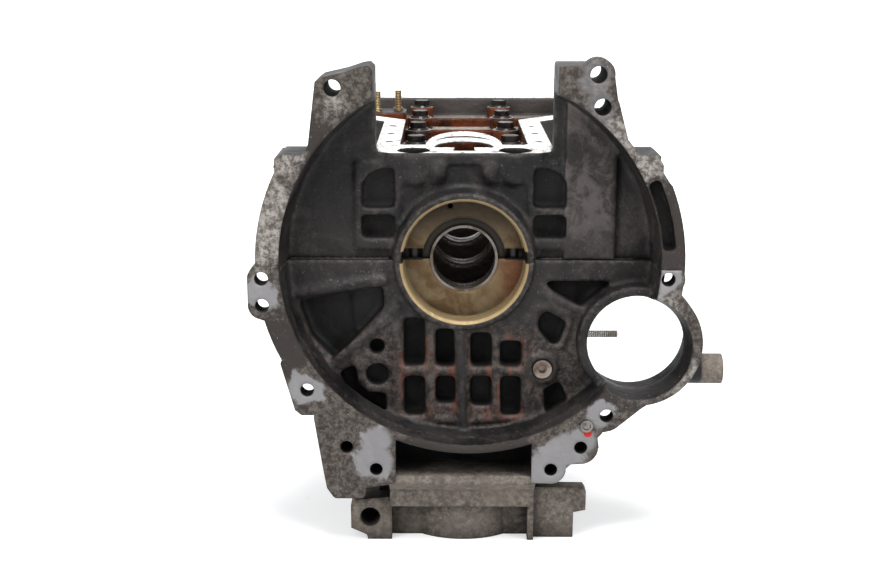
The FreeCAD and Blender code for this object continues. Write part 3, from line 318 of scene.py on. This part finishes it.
# round spots on the flange face, as (x, z, radius)
bare_spots = (
    (-0.158, -0.020, 0.014), (-0.124, -0.097, 0.014), (-0.070, -0.158, 0.019), (-0.068, -0.140, 0.016),
    (0.070, -0.163, 0.016), (0.080, -0.147, 0.018), (0.095, -0.140, 0.016), (0.108, -0.120, 0.014),
    (0.157, -0.010, 0.012))
pale_spots = (
    (-0.152, 0.050, 0.026), (-0.158, 0.018, 0.018), (-0.140, 0.082, 0.016), (0.118, 0.108, 0.010),
    (0.139, 0.080, 0.012), (-0.095, 0.128, 0.010), (0.172, -0.085, 0.014), (0.160, -0.025, 0.012))
oily_spots = (
    (0.150, 0.045, 0.026), (0.158, 0.018, 0.016), (0.0, -0.150, 0.050), (-0.145, -0.060, 0.024),
    (-0.118, 0.095, 0.018), (0.115, -0.100, 0.014))
cast_rounding, shade_reach = 0.0046, 0.034
casting_specular, casting_bump, casting_bump_depth = 0.22, 0.85, 0.0011
oily_rough, cloud_rough, dry_rough, varnish_shine = 0.36, 0.20, 0.22, 0.22


def casting_colours(tree, place):
    """What both castings share: (zones, skin, marks, face, colour) of the bare dirty skin."""
    zones = use_group(tree, where_on_block, Place=place)
    skin = use_group(tree, cast_skin, Place=place)
    marks = use_group(tree, edges_and_shade, Rounding=cast_rounding, Reach=shade_reach)
    along = zones["Along"]
    colour = tint(tree, skin["Cloud"], oily_dark, oily_brown)
    dry = rise(tree, noise(tree, place, 15.0, 7.0, 0.72, 0.5), 0.50, 0.66)
    colour = tint(tree, both(tree, dry, rise(tree, skin["Blotch"], -0.6, 0.8), 0.62), colour, dry_grime)
    # cast edges tinted tan: wear, and partly a painted highlight
    wear_and_highlight = both(tree, marks["WearAndHighlight"], rise(tree, skin["Blotch"], 0.0, 0.9), 0.6)
    colour = tint(tree, wear_and_highlight, colour, rim_tan)
    scuffs = rise(tree, noise(tree, place, 620.0, 4.0, 0.7), 0.60, 0.74)
    colour = tint(tree, both(tree, scuffs, rise(tree, skin["Blotch"], 0.1, 0.9), 0.6), colour, scuffed_grey)
    colour = tint(tree, both(tree, skin["Fleck"], 0.5), colour, scuffed_grey)
    # the rim's flat face: mottled, rubbed pale in places and soaked dark in others
    face = rise(tree, along, flange_face_y + 0.0006, flange_face_y)
    pale = patch(tree, place, skin["Cloud"], pale_spots, 0.009, 0.016)
    oily = patch(tree, place, skin["Cloud"], oily_spots, 0.009, 0.016)
    mottle = calc(tree, "ADD", both(tree, skin["Blotch"], 0.75), both(tree, pale, 0.45))
    mottle = calc(tree, "SUBTRACT", mottle, calc(tree, "MULTIPLY", oily, 0.75), clamp=True)
    rim = tint(tree, mottle, rim_dark, rim_tan)
    rim = tint(tree, both(tree, pale, skin["Blotch"], 0.75), rim, rim_pale)
    rim = tint(tree, both(tree, skin["Fleck"], 0.85), rim, rim_pale)
    colour = tint(tree, face, colour, rim)
    return zones, skin, marks, face, colour


def finish_casting(tree, shader, marks, skin, colour, rough, metal):
    """Darkens the corners with painted shade, then wires the shader."""
    painted_shade = marks["PaintedShade"]
    feed(tree, shader.inputs["Base Color"], tint(tree, both(tree, painted_shade, 0.9), colour, shade_black))
    feed(tree, shader.inputs["Roughness"], calc(tree, "ADD", rough, both(tree, painted_shade, 0.4), clamp=True))
    feed(tree, shader.inputs["Metallic"], metal)
    shader.inputs["Specular IOR Level"].default_value = casting_specular
    bump = tree.nodes.new("ShaderNodeBump")
    bump.inputs["Strength"].default_value = casting_bump
    bump.inputs["Distance"].default_value = casting_bump_depth
    feed(tree, bump.inputs["Height"], skin["Height"])
    feed(tree, bump.inputs["Normal"], marks["Normal"])
    feed(tree, shader.inputs["Normal"], bump.outputs["Normal"])


# Limits of zones are written as (where the mask is 0, where it is 1), in metres.
seal_olive, seal_stain, seal_edge = (0.135, 0.100, 0.055), (0.072, 0.042, 0.018), (0.34, 0.25, 0.13)
seal_shade, seal_red, recess_shade = (0.035, 0.024, 0.014), (0.12, 0.035, 0.014), (0.010, 0.007, 0.005)
seal_reach, seal_mouth, seal_rim = (0.0512, 0.0508), (-0.0026, -0.0022), (0.0468, 0.0482)
seal_floor = (seal_depth + 0.0045, seal_depth + 0.0040)
step_depth, step_reach = (seal_depth + 0.0012, seal_depth + 0.0016), (0.0345, 0.0340)
notch_side, notch_foot, notch_top = (0.0325, 0.0331), (-0.0013, -0.0008), (0.0088, 0.0084)
red_aside, red_height, shaded_height = (0.018, 0.042), (0.014, -0.004), (0.006, 0.038)
varnish_gleam, varnish_metal = 0.1, 0.45


def seal_and_bearings(tree, zones, place, colour, rough):
    """The varnished seal bore and the bearing face behind it: (colour, roughness, metal mask)."""
    along, crank, up, across = zones["Along"], zones["Crank"], zones["Up"], zones["Across"]
    bore = both(
        tree, rise(tree, crank, *seal_reach), rise(tree, along, *seal_floor), rise(tree, along, *seal_mouth))
    stain = rise(tree, noise(tree, place, 38.0, 5.0, 0.65, 0.6), 0.40, 0.66)
    gold = tint(tree, stain, seal_olive, seal_stain)
    red_side = both(tree, rise(tree, across, *red_aside), rise(tree, up, *red_height))
    gold = tint(tree, both(tree, red_side, 0.6), gold, seal_red)
    gold = tint(tree, both(tree, rise(tree, up, *shaded_height), 0.92), gold, seal_shade)
    gold = tint(tree, both(tree, rise(tree, crank, *seal_rim), 0.8), gold, seal_edge)
    # a step deeper in the bore and the notches at its sides, painted near-black as shade
    step = both(tree, rise(tree, along, *step_depth), rise(tree, crank, *step_reach))
    aside = calc(tree, "ABSOLUTE", across)
    notch = both(
        tree, rise(tree, aside, *notch_side), rise(tree, up, *notch_foot), rise(tree, up, *notch_top))
    dark = either(tree, step, notch)
    gold = tint(tree, both(tree, dark, 0.95), gold, recess_shade)
    colour = tint(tree, bore, colour, gold)
    gleam = both(tree, bore, all_but(tree, dark))
    rough = both(tree, rough, all_but(tree, both(tree, gleam, varnish_gleam)))
    return colour, rough, calc(tree, "MULTIPLY", gleam, varnish_metal)


timing_face_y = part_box("cylinder_block")[1].y
bell_wall, bell_floor, bell_mouth = (0.1465, 0.1455), (0.030, 0.028), (0.002, 0.004)
rib_top = (rib_face_y + 0.0014, rib_face_y + 0.0008)
pocket_depth = (rib_face_y + 0.0012, rib_face_y + 0.008)
low_ribs_height = (-0.035, -0.075)
rust_aside, rust_top, rust_foot = (0.062, 0.040), (-0.055, -0.070), (-0.140, -0.125)
window_top, window_foot = (-0.149, -0.151), (-0.1722, -0.1712)
window_depth, window_side = (-0.024, -0.018), (0.0549, 0.0545)
head_end_height, head_end_depth = (-0.1698, -0.1712), (0.024, 0.020)
foot_across, foot_height = (0.188, 0.190), (-0.060, -0.066)
head_face = (head_face_z + 0.0006, head_face_z + 0.0002)
timing_face = (timing_face_y - 0.0006, timing_face_y - 0.0002)
split_below, behind_bell = (-0.0006, -0.0002), (0.028, 0.030)
bearing_reach, bearing_depth, shell_reach = (0.0815, 0.0805), (0.030, 0.032), (0.0275, 0.028)


material, tree, shader = new_material("block_casting")
place = object_place(tree)
zones, skin, marks, face, colour = casting_colours(tree, place)
along, up, across, bell, crank = (zones[name] for name in ("Along", "Up", "Across", "Bell", "Crank"))
aside = calc(tree, "ABSOLUTE", across)

# scraped and rust-streaked ribs below the seal, with the pockets between them painted black as shade
inside_bell = both(
    tree, rise(tree, bell, *bell_wall), rise(tree, along, *bell_floor), rise(tree, along, *bell_mouth))
rib_tops = both(tree, inside_bell, rise(tree, along, *rib_top))
low_ribs = both(tree, rib_tops, rise(tree, up, *low_ribs_height))
colour = tint(tree, both(tree, low_ribs, skin["Blotch"], 0.7), colour, rib_scraped)
streaks = tree.nodes.new("ShaderNodeMapping")
streaks.inputs["Scale"].default_value = (3.0, 1.0, 0.55)
feed(tree, streaks.inputs["Vector"], place)
streak = rise(tree, noise(tree, streaks.outputs[0], 60.0, 4.0, 0.6, 0.3), 0.48, 0.62)
rust_area = both(
    tree, rise(tree, aside, *rust_aside), rise(tree, up, *rust_top), rise(tree, up, *rust_foot), rib_tops)
colour = tint(tree, both(tree, streak, rust_area, 0.7), colour, rust_red)
# the deep pockets and the window under the bell are painted near-black: painted shade
pocket_shade = both(tree, inside_bell, rise(tree, along, *pocket_depth))
window = both(
    tree, rise(tree, up, *window_top), rise(tree, up, *window_foot), rise(tree, along, *window_depth),
    rise(tree, aside, *window_side))
colour = tint(tree, both(tree, either(tree, pocket_shade, window), 0.9), colour, shade_black)

# the head end under the bell is dry, with dust baked on
head_end = both(tree, rise(tree, up, *head_end_height), rise(tree, along, *head_end_depth))
right_foot = both(tree, rise(tree, across, *foot_across), rise(tree, up, *foot_height))
head_end = either(tree, head_end, right_foot)
dust = tint(tree, skin["Blotch"], tint(tree, skin["Cloud"], dust_dark, dust_brown), dust_tan)
dust = tint(tree, both(tree, skin["Fleck"], 0.7), dust, rim_pale)
colour = tint(tree, both(tree, head_end, all_but(tree, face)), colour, dust)

# bare metal where feet and bosses were machined or rubbed
bare = both(tree, face, patch(tree, place, skin["Cloud"], bare_spots, 0.0025, 0.012))
bright = tint(tree, skin["Fleck"], machined_grey, machined_bright)
colour = tint(tree, both(tree, bare, 0.85), colour, bright)
red_dot = patch(tree, place, skin["Cloud"], ((0.0988, -0.1335, 0.0042),), 0.0005, 0.0015)
colour = tint(tree, both(tree, red_dot, face), colour, paint_red)
machined = either(
    tree, rise(tree, up, *head_face), rise(tree, along, *timing_face),
    both(tree, rise(tree, up, *split_below), rise(tree, along, *behind_bell)))
colour = tint(tree, both(tree, machined, 0.9), colour, machined_grey)
rough = calc(tree, "ADD", oily_rough, both(tree, skin["Cloud"], cloud_rough))
rough = calc(tree, "ADD", rough, both(tree, either(tree, face, head_end), dry_rough))
colour, rough, gold_metal = seal_and_bearings(tree, zones, place, colour, rough)
# the bearing face deep behind the seal is painted near-black: painted shade
behind_seal = both(
    tree, rise(tree, crank, *bearing_reach), rise(tree, along, *bearing_depth),
    rise(tree, crank, *shell_reach))
colour = tint(tree, both(tree, behind_seal, 0.95), colour, recess_shade)
metal = either(tree, gold_metal, both(tree, bare, 0.5), both(tree, machined, 0.7))
finish_casting(tree, shader, marks, skin, colour, rough, metal)

# Inside the bell the sand leaves every rib, boss and root soft and round, so that part of
# the casting is remade: a ring between seal and bell wall, smoothed but for its outer skin.
voxel, smoothing_passes, smoothing_step, crisp_margin = 0.0013, 9, 0.5, 0.0016
soft_front_y, soft_back_y, soft_radius, hub_radius = -0.0213, 0.0243, 0.1463, 0.0533
ring_segments, ring_overlap, merge_distance, sharp_angle = 128, 0.001, 0.000001, radians(32)
ridge_sink, ridge_segments = 0.0002, 16
# centre lines of the raised ribs as ((x, z) points, radius)
cast_ridges = (
    (((-0.1376, -0.0271), (-0.0646, -0.0161)), 0.0050),
    (((-0.1083, -0.0883), (-0.0633, -0.0493), (-0.0536, -0.0376)), 0.0042),
    (((-0.0544, -0.0426), (-0.0550, -0.1310)), 0.0038),
    (((-0.0271, -0.0542), (-0.0263, -0.1309)), 0.0034),
    (((-0.0029, -0.0591), (0.0000, -0.1400)), 0.0052),
    (((0.0252, -0.0574), (0.0278, -0.1307)), 0.0034),
    (((0.0508, -0.0472), (0.0523, -0.1306)), 0.0036),
    (((-0.0531, -0.0906), (0.0524, -0.0919)), 0.0034),
    (((-0.0517, -0.1319), (0.0, -0.1351), (0.0507, -0.1315)), 0.0032),
    (((0.0563, -0.0397), (0.0698, -0.0363), (0.0861, -0.0471), (0.0787, -0.0715), (0.0666, -0.0715),
      (0.0558, -0.0556), (0.0563, -0.0397)), 0.0028),
    (((0.0632, -0.0264), (0.0972, -0.0421)), 0.0032))


def mesh_object(name, shape):
    mesh = bpy.data.meshes.new(name)
    shape.to_mesh(mesh)
    shape.free()
    piece = bpy.data.objects.new(name, mesh)
    scene.collection.objects.link(piece)
    return piece


def with_modifier(piece, kind, **settings):
    """A bmesh of the piece as the modifier leaves it."""
    modifier = piece.modifiers.new(kind.lower(), kind)
    for name, value in settings.items():
        setattr(modifier, name, value)
    changed = bpy.data.meshes.new_from_object(piece.evaluated_get(bpy.context.evaluated_depsgraph_get()))
    shape = bmesh.new()
    shape.from_mesh(changed)
    piece.modifiers.remove(modifier)
    bpy.data.meshes.remove(changed)
    return shape


def ring_in_bell(name, grow):
    """The closed ring that is softened, larger all round by grow."""
    shape = bmesh.new()
    turn = Matrix.Rotation(radians(90), 4, "X")
    for x, z, radius in ((bell_x, bell_z, soft_radius + grow), (0.0, 0.0, hub_radius - grow)):
        place = Matrix.Translation((x, soft_front_y - grow, z)) @ turn
        bmesh.ops.create_circle(shape, segments=ring_segments, radius=radius, matrix=place)
    bmesh.ops.bridge_loops(shape, edges=shape.edges[:])
    far_side = bmesh.ops.extrude_face_region(shape, geom=shape.faces[:])["geom"]
    length = soft_back_y - soft_front_y + 2 * grow
    bmesh.ops.translate(shape, verts=verts_of(far_side), vec=(0, length, 0))
    bmesh.ops.recalc_face_normals(shape, faces=shape.faces[:])
    return mesh_object(name, shape)


def add_ridges(shape, ridges, ridge_y):
    """Round bars with ball ends along each line, at the depth ridge_y."""
    for points, radius in ridges:
        corners = [Vector((x, ridge_y, z)) for x, z in points]
        for corner in corners:
            place = Matrix.Translation(corner)
            bmesh.ops.create_icosphere(shape, subdivisions=2, radius=radius, matrix=place)
        for start, end in zip(corners, corners[1:]):
            turn = (end - start).to_track_quat("Z", "Y").to_matrix().to_4x4()
            bmesh.ops.create_cone(
                shape, cap_ends=True, segments=ridge_segments, radius1=radius, radius2=radius,
                depth=(end - start).length, matrix=Matrix.Translation((start + end) / 2) @ turn)


def is_soft(point):
    """True away from the ring's own walls and from the machined split."""
    from_bell = Vector((point.x - bell_x, point.z - bell_z)).length
    from_crank = Vector((point.x, point.z)).length
    return (from_bell < soft_radius - crisp_margin and from_crank > hub_radius + crisp_margin
            and soft_front_y + crisp_margin < point.y < soft_back_y - crisp_margin
            and abs(point.z) > crisp_margin)


def softened_casting(name, node, material, ridges, ridge_y):
    """The node's casting with its bell part softened. It stands for the node."""
    merged = bmesh.new()
    merged.from_mesh(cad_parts[node].data)
    bmesh.ops.remove_doubles(merged, verts=merged.verts[:], dist=merge_distance)
    whole = mesh_object(name + "_whole", merged)
    stale_normals = whole.data.attributes.get("custom_normal")
    if stale_normals:
        whole.data.attributes.remove(stale_normals)
    inner, outer = ring_in_bell("ring", 0.0), ring_in_bell("wide_ring", ring_overlap)
    casting = with_modifier(whole, "BOOLEAN", operation="DIFFERENCE", object=inner, solver="EXACT")
    soft = with_modifier(whole, "BOOLEAN", operation="INTERSECT", object=outer, solver="EXACT")
    add_ridges(soft, ridges, ridge_y)
    soft_part = mesh_object(name + "_soft", soft)
    soft = with_modifier(soft_part, "REMESH", mode="VOXEL", voxel_size=voxel)
    moving = [vert for vert in soft.verts if is_soft(vert.co)]
    for _ in range(smoothing_passes):
        bmesh.ops.smooth_vert(
            soft, verts=moving, factor=smoothing_step, use_axis_x=True, use_axis_y=True, use_axis_z=True)
    softened = bpy.data.meshes.new(name + "_softened")
    soft.to_mesh(softened)
    soft.free()
    casting.from_mesh(softened)
    for helper in (whole, inner, outer, soft_part):
        bpy.data.objects.remove(helper)
    bpy.data.meshes.remove(softened)
    piece = mesh_object(name, casting)
    piece.data.shade_smooth()
    piece.data.set_sharp_from_angle(angle=sharp_angle)
    piece.data.materials.clear()
    piece.data.materials.append(material)
    for face in piece.data.polygons:
        face.material_index = 0
    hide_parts(node)
    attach(piece, "root")


softened_casting("block_casting", "cylinder_block", material, cast_ridges, rib_face_y + ridge_sink)


# Lower crankcase: an aluminium casting with the five bearing caps in it, bolted
# down over the crank. The sump face is freshly cleaned; the inside is varnished.

clean_white, face_stain, face_dots = (0.86, 0.86, 0.85), (0.42, 0.38, 0.34), (0.08, 0.07, 0.065)
oil_varnish, oil_dark = (0.120, 0.027, 0.006), (0.022, 0.006, 0.003)
panel_dark, panel_pale = (0.028, 0.023, 0.022), (0.115, 0.098, 0.092)
pad_brown, pad_pale = (0.20, 0.15, 0.12), (0.46, 0.42, 0.38)
ear_spots = ((0.0992, 0.1495, 0.012), (0.103, 0.126, 0.009))
case_end_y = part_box("lower_crankcase")[1].y
panel_left, panel_right, panel_height = (0.0785, 0.0795), (0.1205, 0.1195), (-0.02, 0.06)
panel_back, panel_front = (0.0095, 0.0085), (0.0065, 0.0075)
bay_depth, bay_side = (0.036, 0.040), (0.1165, 0.1150)
bay_top, bay_floor = (0.0855, 0.0850), (0.055, 0.045)
steep, level, facing_out, outer_side = (0.6, 0.3), (0.80, 0.92), (0.2, 0.5), (0.058, 0.062)
shade_height, timing_wall = (0.050, 0.030), (0.380, 0.386)
sump_foot, sump_top = (0.0852, 0.0857), (0.0875, 0.0868)
sump_front, sump_side = (0.006, 0.008), (0.1255, 0.1250)
pad_foot, pad_top = (0.0670, 0.0674), (0.0792, 0.0788)
case_end, split_above = (case_end_y - 0.0006, case_end_y - 0.0002), (0.0006, 0.0002)
material, tree, shader = new_material("crankcase_casting")
place = object_place(tree)
zones, skin, marks, face, colour = casting_colours(tree, place)
along, up, across = (zones[name] for name in ("Along", "Up", "Across"))
aside = calc(tree, "ABSOLUTE", across)
panel = both(
    tree, rise(tree, across, *panel_left), rise(tree, across, *panel_right), rise(tree, along, *panel_back),
    rise(tree, along, *panel_front), rise(tree, up, *panel_height))
scrape = rise(tree, noise(tree, place, 48.0, 6.0, 0.7, 0.5), 0.42, 0.62)
colour = tint(tree, both(tree, panel, 0.75), colour, tint(tree, scrape, panel_dark, panel_pale))
bare = both(tree, face, patch(tree, place, skin["Cloud"], ear_spots))
colour = tint(tree, both(tree, bare, 0.4), colour, machined_grey)

# varnished crank bays: everything behind the seal wall, but not the outer side walls
inside = both(tree, rise(tree, along, *bay_depth), rise(tree, aside, *bay_side), rise(tree, up, *bay_top))
facing = tree.nodes.new("ShaderNodeNewGeometry")
turned = tree.nodes.new("ShaderNodeSeparateXYZ")
feed(tree, turned.inputs[0], facing.outputs["Normal"])
upright = rise(tree, calc(tree, "ABSOLUTE", turned.outputs[2]), *steep)
outward = calc(tree, "MULTIPLY", turned.outputs[0], calc(tree, "SIGN", across))
outer_wall = both(tree, rise(tree, outward, *facing_out), rise(tree, aside, *outer_side))
inside = both(tree, inside, all_but(tree, outer_wall))
upward = rise(tree, turned.outputs[2], *level)
bay_stain_and_shade = tint(tree, rise(tree, noise(tree, place, 30.0, 4.0), 0.35, 0.65), oil_varnish, oil_dark)
# lower down in the bays the varnish turns near-black: painted shade
bay_stain_and_shade = tint(tree, rise(tree, up, *shade_height), bay_stain_and_shade, recess_shade)
bay_stain_and_shade = tint(tree, rise(tree, along, *timing_wall), bay_stain_and_shade, dry_grime)
varnished = both(tree, inside, either(tree, upright, rise(tree, up, *bay_floor)), 0.95)
colour = tint(tree, varnished, colour, bay_stain_and_shade)

# the cleaned sump face with its stains and dots, and the lower pads inside it
sump_face = both(
    tree, rise(tree, up, *sump_foot), rise(tree, up, *sump_top), rise(tree, along, *sump_front), upward,
    rise(tree, aside, *sump_side))
dots = rise(tree, noise(tree, place, 330.0, 3.0, 0.6, 0.4), 0.57, 0.62)
stains = rise(tree, noise(tree, place, 60.0, 5.0, 0.7), 0.48, 0.64)
white = tint(tree, both(tree, stains, 0.8), clean_white, face_stain)
white = tint(tree, dots, white, face_dots)
colour = tint(tree, sump_face, colour, white)
pads = both(tree, rise(tree, up, *pad_foot), rise(tree, up, *pad_top), inside, upward)
pad_mottle = tint(tree, skin["Blotch"], pad_brown, pad_pale)
colour = tint(tree, both(tree, pads, 0.85), colour, pad_mottle)
machined = either(
    tree, rise(tree, along, *case_end),
    both(tree, rise(tree, up, *split_above), rise(tree, along, *behind_bell)))
colour = tint(tree, both(tree, machined, 0.9), colour, machined_grey)
rough = calc(tree, "ADD", oily_rough, both(tree, skin["Cloud"], cloud_rough))
rough = calc(tree, "ADD", rough, both(tree, face, dry_rough))
rough = calc(tree, "SUBTRACT", rough, both(tree, inside, upright, varnish_shine))
colour, rough, gold_metal = seal_and_bearings(tree, zones, place, colour, rough)
metal = either(tree, gold_metal, both(tree, bare, 0.4), both(tree, machined, 0.7), both(tree, pads, 0.5))
finish_casting(tree, shader, marks, skin, colour, rough, metal)

# two bosses for bolts over the seal, raised like the ribs, as ((x, z) points, radius)
bolt_bosses = (
    (((-0.0209, 0.0740), (-0.0209, 0.0700)), 0.0082),
    (((0.0204, 0.0740), (0.0204, 0.0700)), 0.0082))
bolt_boss_y = 0.0130
softened_casting("crankcase_casting", "lower_crankcase", material, bolt_bosses, bolt_boss_y)


# Split sealant: black sealing compound that the bolts squeezed out of the joint when the
# two castings were closed, left standing as a thin ragged bead across the bell.
bead_y, bead_radius, bead_sides, bead_steps = 0.0124, 0.00085, 8, 70
bead_spans, bead_black = ((-0.143, -0.060), (0.062, 0.136)), (0.004, 0.004, 0.004)


def bead_swell(step, start):
    """The bead's thickness at a step, as a share of its radius: waves of unlike lengths, and blobs."""
    waves = 0.5 * sin(step * 1.7 + start * 40) * sin(step * 0.61)
    blobs = 0.35 * sin(step * 3.3) ** 3
    return 0.8 + waves + blobs


bead = bmesh.new()
for bead_from, bead_to in bead_spans:
    place = Matrix.Translation((bead_from, bead_y, 0.0)) @ Matrix.Rotation(radians(90), 4, "Y")
    loop_verts = bmesh.ops.create_circle(
        bead, cap_ends=True, segments=bead_sides, radius=bead_radius, matrix=place)["verts"]
    loop_edges = list({edge for vert in loop_verts for edge in vert.link_edges})
    step_length, last_swell = (bead_to - bead_from) / bead_steps, 1.0
    for step in range(1, bead_steps + 1):
        grown = bmesh.ops.extrude_edge_only(bead, edges=loop_edges)["geom"]
        loop_verts = verts_of(grown)
        loop_edges = [part for part in grown if isinstance(part, bmesh.types.BMEdge)
                      and all(vert in loop_verts for vert in part.verts)]
        swell = bead_swell(step, bead_from)
        bmesh.ops.translate(bead, verts=loop_verts, vec=(step_length, 0.0, 0.0))
        bmesh.ops.scale(bead, verts=loop_verts, vec=(1.0, swell / last_swell, swell / last_swell),
                        space=Matrix.Translation((0.0, -bead_y, 0.0)))
        last_swell = swell
    bmesh.ops.edgeloop_fill(bead, edges=loop_edges)
bmesh.ops.recalc_face_normals(bead, faces=bead.faces[:])
sealant = mesh_object("split_sealant", bead)
sealant.data.shade_smooth()
material, tree, shader = new_material("black_sealant")
grit = noise(tree, object_place(tree), 300.0, 3.0)
feed(tree, shader.inputs["Base Color"], tint(tree, rise(tree, grit, 0.5, 0.7), bead_black, oily_brown))
feed(tree, shader.inputs["Roughness"], calc(tree, "ADD", 0.35, calc(tree, "MULTIPLY", grit, 0.3)))
sealant.data.materials.append(material)
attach(sealant, "root")


# Turned and ground pieces: iron liners with honed bores, grey bearing shells,
# oiled black bolts, zinc-gold studs, steel dowels and the gallery's screw plug.

# A turned surface: smears of oil, and a height of fine grain.
turned_metal, given, result = new_group(
    "turned_metal", [("Place", "Vector"), ("Clean", "Color"), ("Oiled", "Color")],
    [("Colour", "Color"), ("Roughness", "Float"), ("Height", "Float")])
place = given.outputs["Place"]
clean_rough, smear_rough = 0.24, 0.25
smear = rise(turned_metal, noise(turned_metal, place, 55.0, 4.0, 0.6, 0.5), 0.40, 0.68)
smeared = tint(turned_metal, smear, given.outputs["Clean"], given.outputs["Oiled"])
rough = calc(turned_metal, "ADD", clean_rough, calc(turned_metal, "MULTIPLY", smear, smear_rough))
feed(turned_metal, result.inputs["Colour"], smeared)
feed(turned_metal, result.inputs["Roughness"], rough)
feed(turned_metal, result.inputs["Height"], noise(turned_metal, place, 1500.0, 2.0, 0.5))

cylinders, webs = 4, 5
thread_pitch, thread_depth = 0.0016, 0.00035
grain_strength, thread_strength = 0.3, 1.0


def metal_finish(name, clean, oiled, metal, depth, nodes, thread_axis=None):
    """A turned or plated steel finish, worn by the named CAD nodes. The depth is that of its
    grain, or of the thread that turns round an axis if one is given."""
    material, tree, shader = new_material(name)
    look = use_group(tree, turned_metal, Place=object_place(tree), Clean=clean, Oiled=oiled)
    colour, height, strength = look["Colour"], look["Height"], grain_strength
    if thread_axis is not None:
        position = tree.nodes.new("ShaderNodeSeparateXYZ")
        feed(tree, position.inputs[0], object_place(tree))
        angle = calc(tree, "MULTIPLY", position.outputs[thread_axis], 2 * pi / thread_pitch)
        height, strength = calc(tree, "SINE", angle), thread_strength
        # the thread's grooves are darkened towards the oiled colour: painted shade
        groove_shade = calc(tree, "MULTIPLY", rise(tree, height, 0.0, -0.9), 0.7)
        colour = tint(tree, groove_shade, colour, oiled)
    feed(tree, shader.inputs["Base Color"], colour)
    feed(tree, shader.inputs["Roughness"], look["Roughness"])
    shader.inputs["Metallic"].default_value = metal
    bump = tree.nodes.new("ShaderNodeBump")
    bump.inputs["Strength"].default_value = strength
    bump.inputs["Distance"].default_value = depth
    feed(tree, bump.inputs["Height"], height)
    feed(tree, shader.inputs["Normal"], bump.outputs["Normal"])
    for node in nodes:
        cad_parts[node].data.materials.clear()
        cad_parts[node].data.materials.append(material)


metal_finish("liner_iron", (0.36, 0.35, 0.34), (0.10, 0.075, 0.05), 0.9, 0.00002,
             [f"cylinder_liner_{number}" for number in range(1, cylinders + 1)])
metal_finish("bearing_steel", (0.17, 0.155, 0.14), (0.07, 0.05, 0.032), 0.9, 0.00001,
             [f"main_shell_{half}_{number}" for half in ("block", "cap") for number in range(1, webs + 1)])
metal_finish("black_steel", (0.008, 0.0075, 0.0075), (0.022, 0.017, 0.014), 0.4, 0.00004,
             ["main_bearing_bolts"])
metal_finish("dark_steel", (0.07, 0.065, 0.06), (0.03, 0.025, 0.02), 0.7, 0.00004, ["split_rail_bolts"])
metal_finish("dowel_steel", (0.20, 0.185, 0.175), (0.08, 0.055, 0.045), 0.9, 0.00002,
             ["split_dowels", "transmission_dowel"])
metal_finish("plug_steel", (0.22, 0.18, 0.15), (0.07, 0.05, 0.04), 0.9, 0.00003, ["oil_gallery_plug"])
metal_finish("stud_zinc", (0.42, 0.33, 0.17), (0.18, 0.12, 0.06), 0.9, thread_depth, ["sump_studs"],
             thread_axis=2)
metal_finish("stud_silver", (0.46, 0.45, 0.44), (0.20, 0.17, 0.14), 0.95, thread_depth, ["side_stud"],
             thread_axis=0)
